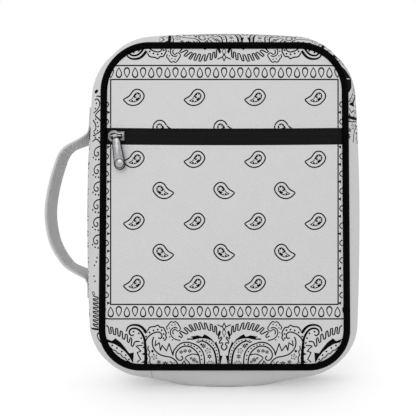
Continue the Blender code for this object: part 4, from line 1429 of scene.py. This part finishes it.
# Handle

HANDLE_EDGE_ROUND = 0.0010
HANDLE_STITCH_INSET = 0.0024


def spine_face_x(height, depth_y):
    """Outer face of the spine at a height above the middle of the panels."""
    run = RUNS[3]
    along = SPINE_START + run[1][1] * math.pi / 4 + (height - run[1][0].y)
    return gusset_point(along, depth_y).x


def handle_frames():
    """Along the strap: its place before the spine, its slope and its thickness."""
    half_span = HANDLE_SPAN / 2
    route = smooth([
        (reach * HANDLE_REACH, HANDLE_ABOVE_MIDDLE + share * half_span)
        for share, reach in HANDLE_ROUTE
    ], step=0.0030)
    depths = [HANDLE_FRONT_EDGE + HANDLE_WIDTH * i / 4 for i in range(5)]
    frames = []
    for i, point in enumerate(route):
        ahead = route[min(i + 1, len(route) - 1)]
        behind = route[max(i - 1, 0)]
        along = (ahead - behind).normalized()
        normal = Vector((-along.y, along.x))
        if normal.x < 0:
            normal = -normal
        crest = min(spine_face_x(point.y, y) for y in depths)
        lift = min(1.0, point.x / (HANDLE_REACH * 0.5))
        thick = HANDLE_END_THICKNESS + (HANDLE_THICKNESS - HANDLE_END_THICKNESS) * lift
        frames.append((point, normal, crest, lift, thick))
    return frames


def handle_spot(frame_here, depth_y, out):
    """Point of the strap: out runs from -1 on its inner face to 1 on its outer face."""
    point, normal, crest, lift, thick = frame_here
    drop = (spine_face_x(point.y, depth_y) - crest) * (1 - lift)
    from_middle = (depth_y - HANDLE_FRONT_EDGE - HANDLE_WIDTH / 2) / HANDLE_WIDTH
    seat_x = crest - SEAM_GAP - thick / 2 - point.x + drop + HANDLE_TWIST * from_middle * lift
    shift = Vector((-normal.x, 0.0, normal.y)) * thick / 2 * out
    return Vector((seat_x, depth_y, MIDDLE_Z + point.y)) + shift


def handle_ring(frame_here, quilt):
    """Cross-section of the strap: flat faces that sink at the stitching, rounded edges."""
    ring = []
    shares = [0.0, 0.012, 0.04, 0.075, 0.095, 0.115, 0.2, 0.5, 0.8, 0.885, 0.905, 0.925, 0.96, 0.988, 1.0]
    for side in (1, -1):
        for share in (shares if side > 0 else shares[::-1]):
            from_edge = min(share, 1 - share) * HANDLE_WIDTH
            full = math.sqrt(max(0.0, 1 - max(0.0, 1 - from_edge / HANDLE_EDGE_ROUND) ** 2))
            stitch_dip = 0.20 * max(0.0, 1 - abs(from_edge - HANDLE_STITCH_INSET) / 0.0007)
            out = side * (full - stitch_dip * quilt)
            if from_edge == 0.0:
                out = side * 0.12
            ring.append(handle_spot(frame_here, HANDLE_FRONT_EDGE + HANDLE_WIDTH * share, out))
    return ring


handle_line = handle_frames()
handle = rounds("sewn_handle", [handle_ring(place, 1.0) for place in handle_line], False,
                (strap_cotton,), smooth_turn=75.0)
finish(handle, "handle_strap")


def handle_stitch_rows():
    """Rows along both edges of the strap on both faces, and a crossed box at each end."""
    rows = []
    for depth_y in (HANDLE_FRONT_EDGE + HANDLE_STITCH_INSET,
                    HANDLE_FRONT_EDGE + HANDLE_WIDTH - HANDLE_STITCH_INSET):
        for side in (1, -1):
            points = []
            for place in handle_line[1:-1]:
                if side < 0 and place[3] < 0.4:
                    continue
                spot = handle_spot(place, depth_y, side * 0.86)
                out = (handle_spot(place, depth_y, side) - handle_spot(place, depth_y, 0)).normalized()
                points.append((spot, out))
            rows.append(points)
    near = HANDLE_FRONT_EDGE + HANDLE_STITCH_INSET
    far = HANDLE_FRONT_EDGE + HANDLE_WIDTH - HANDLE_STITCH_INSET
    for end in (handle_line[1:7], handle_line[-7:-1]):
        first, last = end[0], end[-1]
        for start_y, stop_y in ((near, far), (far, near)):
            points = []
            for i, place in enumerate(end):
                depth_y = start_y + (stop_y - start_y) * i / (len(end) - 1)
                points.append((handle_spot(place, depth_y, 1.0), Vector((-1.0, 0.0, 0.0))))
            rows.append(points)
        for place in (first, last):
            points = []
            for i in range(8):
                depth_y = near + (far - near) * i / 7
                points.append((handle_spot(place, depth_y, 1.0), Vector((-1.0, 0.0, 0.0))))
            rows.append(points)
    return rows


handle_stitches = stitch_rows("handle_stitches", handle_stitch_rows(), thread_grey)
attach(handle_stitches, "bag")


# Zip sliders: X along the zip, Y out of the bag, Z across it

SLIDER_LENGTH = 0.0130
SLIDER_WIDTH_WIDE = 0.0092
SLIDER_WIDTH_NARROW = 0.0070
SLIDER_PLATE = 0.0012
BRIDGE_LENGTH = 0.0100
BRIDGE_BAR = 0.0012
BRIDGE_CLEAR_HEIGHT = 0.0021
BRIDGE_AXIS_OUT = SEAM_GAP + SLIDER_PLATE + BRIDGE_CLEAR_HEIGHT + BRIDGE_BAR / 2
PULL_LENGTH = 0.0270
PULL_WIDTH_TOP = 0.0068
PULL_WIDTH_END = 0.0090
PULL_THICKNESS = 0.0012
PULL_EYE_WALL = 0.0007
PULL_EYE_CLEARANCE = 0.0005
PULL_EYE_LENGTH = 0.0032
PULL_TILT_DEG = 9.0
PULL_DISC_DIAMETER = 0.0066
PULL_DISC_RISE = 0.0005
MAIN_PULL_LENGTH = 0.0220
MAIN_SLIDER_FROM_SPINE = 0.012
MAIN_PULL_DROP_DEG = 5.0
POCKET_SLIDER_FROM_EDGE = 0.0135


def place_matrix(origin, along, out, across):
    """Matrix that carries the zip frame's X, Y and Z to these directions."""
    place = Matrix.Identity(4)
    for column, direction in enumerate((along, out, across)):
        place.col[column] = (*direction, 0.0)
    place.col[3] = (*origin, 1.0)
    return place


def slider_outline(shrink=0.0):
    """Plan of a slider plate: wide shoulders at -X, a square open end at +X."""
    half = SLIDER_LENGTH / 2 - shrink
    wide = SLIDER_WIDTH_WIDE / 2 - shrink
    narrow = SLIDER_WIDTH_NARROW / 2 - shrink
    upper = [
        (half, narrow), (half * 0.35, narrow), (half * 0.1, narrow + (wide - narrow) * 0.35),
        (-half * 0.1, wide), (-half * 0.5, wide), (-half * 0.8, wide * 0.78), (-half, wide * 0.4),
    ]
    return upper + [(x, -z) for x, z in reversed(upper)]


def slab(builder, outline, low, high, bevel, material=0):
    """A plate over an (x, z) outline, its outer edge bevelled in two steps."""
    centre_x = sum(x for x, _ in outline) / len(outline)
    centre_z = sum(z for _, z in outline) / len(outline)
    levels = ((low, 0.0), (high - bevel, 0.0), (high - bevel * 0.3, bevel * 0.3), (high, bevel))
    rings = []
    for level, inset in levels:
        ring = []
        for x, z in outline:
            pull_in = min(inset, math.hypot(x - centre_x, z - centre_z) * 0.5)
            distance = math.hypot(x - centre_x, z - centre_z) or 1e-9
            share = 1 - pull_in / distance
            ring.append(builder.verts.new((centre_x + (x - centre_x) * share, level,
                                           centre_z + (z - centre_z) * share)))
        rings.append(ring)
    count = len(outline)
    faces = [builder.faces.new(rings[0]), builder.faces.new(rings[-1][::-1])]
    for ring, following in zip(rings, rings[1:]):
        for i in range(count):
            j = (i + 1) % count
            faces.append(builder.faces.new((ring[i], following[i], following[j], ring[j])))
    for face in faces:
        face.material_index = material


def wire(builder, points, radius, closed=False, sides=8, material=0):
    """A round wire through points of the zip frame."""
    rings = []
    count = len(points)
    for i, point in enumerate(points):
        before = points[i - 1] if i or closed else point
        after = points[(i + 1) % count] if i < count - 1 or closed else point
        along = (after - before).normalized()
        side = along.cross(Vector((0.0, 1.0, 0.0)))
        if side.length < 1e-6:
            side = Vector((1.0, 0.0, 0.0))
        side.normalize()
        up = side.cross(along)
        rings.append([
            builder.verts.new(point + (side * math.cos(t) + up * math.sin(t)) * radius)
            for t in (math.tau * n / sides for n in range(sides))
        ])
    pairs = list(zip(rings, rings[1:]))
    if closed:
        pairs.append((rings[-1], rings[0]))
    faces = []
    for ring, following in pairs:
        for i in range(sides):
            j = (i + 1) % sides
            faces.append(builder.faces.new((ring[i], ring[j], following[j], following[i])))
    if not closed:
        faces += [builder.faces.new(rings[0][::-1]), builder.faces.new(rings[-1])]
    for face in faces:
        face.material_index = material


def metal_piece(name, builder, place, materials=(nickel, nickel_painted_shade)):
    """Set a metal piece in place, smooth but for its edges."""
    bmesh.ops.recalc_face_normals(builder, faces=builder.faces)
    builder.transform(place)
    mesh = bpy.data.meshes.new(name)
    builder.to_mesh(mesh)
    builder.free()
    mesh.shade_smooth()
    mesh.set_sharp_from_angle(angle=math.radians(38))
    return add_piece(name, mesh, materials)


def slider_body(builder):
    """Channelled plate, its channel painted darker as shade, with a bright raised rim, and the bridge over
    it.
    """
    top = SEAM_GAP + SLIDER_PLATE
    slab(builder, slider_outline(), SEAM_GAP, top - 0.0002, 0.0003)
    # The channel's floor is in the darker metal: painted shade in the recess.
    slab(builder, slider_outline(0.0016), top - 0.0003, top - 0.0001, 0.0001, material=1)
    rim_line = [Vector((x, top - 0.0002, z)) for x, z in slider_outline(0.0006)]
    wire(builder, rim_line, 0.0005, closed=True)
    half = BRIDGE_LENGTH / 2 - BRIDGE_BAR / 2
    bridge = [Vector((-half, top - 0.0003, 0.0)), Vector((-half, top + 0.0012, 0.0))]
    corner = 0.0008
    for i in range(5):
        turn = math.pi / 2 * i / 4
        bridge.append(Vector((
            -half + corner * (1 - math.cos(turn)),
            BRIDGE_AXIS_OUT - corner * (1 - math.sin(turn)), 0.0)))
    bridge += [Vector((-point.x, point.y, 0.0)) for point in reversed(bridge)]
    wire(builder, bridge, BRIDGE_BAR / 2, sides=10)


def pull_outline(length, shrink=0.0, steps=14):
    """Plan of a pull tab that hangs towards -Z from its eye, with a round end."""
    half_top = PULL_WIDTH_TOP / 2 - shrink
    radius = PULL_WIDTH_END / 2 - shrink
    end_centre = -(length - PULL_WIDTH_END / 2)
    shoulder = -(BRIDGE_BAR / 2 + PULL_EYE_CLEARANCE + PULL_EYE_WALL) - shrink
    left = [
        (-half_top * 0.6, shoulder * 0.9), (-half_top * 0.92, shoulder * 1.2), (-half_top, shoulder * 1.6),
    ]
    arc = [
        (-radius * math.cos(math.pi * i / steps), end_centre - radius * math.sin(math.pi * i / steps))
        for i in range(steps + 1)
    ]
    right = [(-x, z) for x, z in reversed(left)]
    return left + arc + right


def round_outline(radius, centre_z, sides=24):
    return [
        (radius * math.cos(math.tau * i / sides), centre_z + radius * math.sin(math.tau * i / sides))
        for i in range(sides)
    ]


def pull_tab(builder, length, rise=PULL_THICKNESS / 2):
    """Tab with its edges and the groove round its disc painted darker as shade, a sunk face and a raised
    round disc near its end.
    """
    axis = BRIDGE_AXIS_OUT
    # Whole tab in the darker metal, of which a rim shows round the raised face: painted shade and shadow
    # round its edges.
    slab(builder, pull_outline(length), axis - rise, axis + rise - 0.0002, 0.0003, material=1)
    slab(builder, pull_outline(length, 0.0007), axis, axis + rise, 0.0002)
    centre_z = -(length - PULL_WIDTH_END / 2 - PULL_DISC_RISE)
    groove = PULL_DISC_DIAMETER / 2 + 0.0003
    ring = [Vector((x, axis + rise - 0.0001, z)) for x, z in round_outline(groove, centre_z)]
    # The groove round the disc is in the darker metal: painted shade in the groove.
    wire(builder, ring, 0.0003, closed=True, sides=6, material=1)
    slab(builder, round_outline(PULL_DISC_DIAMETER / 2, centre_z), axis, axis + rise + PULL_DISC_RISE, 0.0004)


def pull_eye(builder):
    """The rolled eye that hangs on the bridge."""
    hole = BRIDGE_BAR / 2 + PULL_EYE_CLEARANCE
    half = PULL_EYE_LENGTH / 2
    sides = 16
    loops = []
    rim_radius = hole + PULL_EYE_WALL
    for radius, x in ((rim_radius, -half), (rim_radius, half), (hole, half), (hole, -half)):
        loops.append([
            builder.verts.new((x, BRIDGE_AXIS_OUT + radius * math.cos(math.tau * i / sides),
                               radius * math.sin(math.tau * i / sides)))
            for i in range(sides)
        ])
    for loop, following in zip(loops, loops[1:] + loops[:1]):
        for i in range(sides):
            j = (i + 1) % sides
            builder.faces.new((loop[i], loop[j], following[j], following[i]))


def pocket_slider_place():
    """Place on the pocket tape."""
    x = -(MEAN_WIDTH / 2 * width_share(POCKET_ZIP_Z - MIDDLE_Z)) + POCKET_SLIDER_FROM_EDGE
    z = zip_height(x)
    step = SLIDER_LENGTH / 2
    slope = (front_face_y(x + step, z) - front_face_y(x - step, z)) / (2 * step)
    along = Vector((1.0, slope, 0.0)).normalized()
    up = Vector((0.0, 0.0, 1.0))
    origin = Vector((x, front_face_y(x, z) + SEAM_GAP, z))
    return place_matrix(origin, along, along.cross(up), up)


def main_slider_place():
    """Place on the main zip, Z towards the back."""
    mark = SPINE_WRAP_TOP + MAIN_SLIDER_FROM_SPINE
    step = SLIDER_LENGTH / 2
    middle_y = MAIN_ZIP_BEHIND_MIDDLE
    here = gusset_point(mark, middle_y, MAIN_TAPE_RECESS)
    along = (gusset_point(mark + step, middle_y, MAIN_TAPE_RECESS)
             - gusset_point(mark - step, middle_y, MAIN_TAPE_RECESS)).normalized()
    across = (gusset_point(mark, middle_y + MAIN_TAPE_WIDTH / 2, MAIN_TAPE_RECESS)
              - gusset_point(mark, middle_y - MAIN_TAPE_WIDTH / 2, MAIN_TAPE_RECESS))
    out = along.cross(across).normalized()
    return place_matrix(here, along, out, out.cross(along))


pocket_place = pocket_slider_place()
builder = bmesh.new()
slider_body(builder)
finish(metal_piece("pocket_slider_body", builder, pocket_place), "pocket_zip_slider")

to_axis = Matrix.Translation((0.0, BRIDGE_AXIS_OUT, 0.0))
tilt = Matrix.Rotation(math.radians(-PULL_TILT_DEG), 4, "Y")
builder = bmesh.new()
pull_tab(builder, PULL_LENGTH)
pull_eye(builder)
finish(metal_piece("pocket_pull_tab", builder, pocket_place @ to_axis @ tilt @ to_axis.inverted()),
       "pocket_zip_pull", "pull")

main_place = main_slider_place()
builder = bmesh.new()
slider_body(builder)
lying = bmesh.new()
pull_tab(lying, MAIN_PULL_LENGTH)
lying.transform(Matrix.Translation((0.0, -BRIDGE_AXIS_OUT, 0.0)))
turned = Matrix.Rotation(math.radians(90), 4, "Y")
drop_turn = Matrix.Rotation(math.radians(-MAIN_PULL_DROP_DEG), 4, "Z")
lying.transform(to_axis @ drop_turn @ turned)
held = bpy.data.meshes.new("main_pull")
lying.to_mesh(held)
lying.free()
builder.from_mesh(held)
bpy.data.meshes.remove(held)
finish(metal_piece("main_slider_body", builder, main_place), "main_zip_slider")


# Coil teeth of the main zip

def coil_teeth(name, along_start, along_end, middle_y, material, pitch=0.0017):
    """Two rows of small nylon loops that mesh along the zip."""
    builder = bmesh.new()
    count = int((along_end - along_start) / pitch)
    for i in range(count):
        for side in (-1, 1):
            mark = along_start + (i + 0.5 + 0.25 * side) * pitch
            here = gusset_point(mark, middle_y, MAIN_TAPE_RECESS)
            after = gusset_point(mark + 0.001, middle_y, MAIN_TAPE_RECESS)
            beside = gusset_point(mark, middle_y + 0.001, MAIN_TAPE_RECESS)
            along = (after - here).normalized()
            across = (beside - here).normalized()
            out = along.cross(across).normalized()
            place = place_matrix(here, along, out, across)
            tooth = bmesh.ops.create_cube(builder, size=1.0, matrix=place @ Matrix.LocRotScale(
                Vector((0.0, 0.00025, side * 0.0008)), None, Vector((0.0006, 0.0009, 0.0026))))
            for vert in tooth["verts"]:
                local = place.inverted() @ vert.co
                if local.y > 0.0005:
                    local.x *= 0.4
                    vert.co = place @ local
    mesh = bpy.data.meshes.new(name)
    builder.to_mesh(mesh)
    builder.free()
    return add_piece(name, mesh, (material,))


slider_mark = SPINE_WRAP_TOP + MAIN_SLIDER_FROM_SPINE
teeth = coil_teeth("main_zip_teeth", slider_mark + 0.007, ZIP_END - 0.004, MAIN_ZIP_BEHIND_MIDDLE, coil)
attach(teeth, "bag")


# Camera, floor and light

def aim(thing, target):
    thing.rotation_euler = (Vector(target) - thing.location).to_track_quat("-Z", "Y").to_euler()


camera_data = bpy.data.cameras.new("photo_camera")
camera_data.sensor_width = SENSOR_WIDTH_MM
camera_data.lens = FOCAL_COLUMNS / PHOTO_SIDE * SENSOR_WIDTH_MM
camera_data.clip_start = 0.01
camera = bpy.data.objects.new("photo_camera", camera_data)
camera.location = CAMERA_PLACE
aim(camera, CAMERA_PLACE + Vector((0.0, 1.0, 0.0)))
bpy.context.scene.collection.objects.link(camera)
bpy.context.scene.camera = camera
bpy.context.scene.view_settings.view_transform = "Standard"


def paper_floor():
    """A pale floor of matt white paper."""
    mesh = bpy.data.meshes.new("floor")
    mesh.from_pydata([(-9, -9, 0), (9, -9, 0), (9, 9, 0), (-9, 9, 0)], [], [(0, 1, 2, 3)])
    material, tree, shader = new_material("matt_white_paper", 0.95, specular=0.0)
    shader.inputs["Base Color"].default_value = linear("e6e6e6")
    shader.inputs["Emission Color"].default_value = linear("ffffff")
    shader.inputs["Emission Strength"].default_value = 0.22
    return add_piece("floor", mesh, (material,))


paper_floor()


def soft_light(name, place, target, side, watts):
    """A large square lamp."""
    light = bpy.data.lights.new(name, "AREA")
    light.shape = "SQUARE"
    light.size = side
    light.energy = watts
    lamp = bpy.data.objects.new(name, light)
    lamp.location = place
    bpy.context.scene.collection.objects.link(lamp)
    aim(lamp, target)
    return lamp


soft_light("front_light", (-0.7, -2.2, 1.5), (0, 0, MIDDLE_Z), 1.2, 16)
world = bpy.data.worlds.new("studio")
bpy.context.scene.world = world
world.use_nodes = True
world.node_tree.nodes["Background"].inputs["Color"].default_value = linear("ffffff")
world.node_tree.nodes["Background"].inputs["Strength"].default_value = 1.0
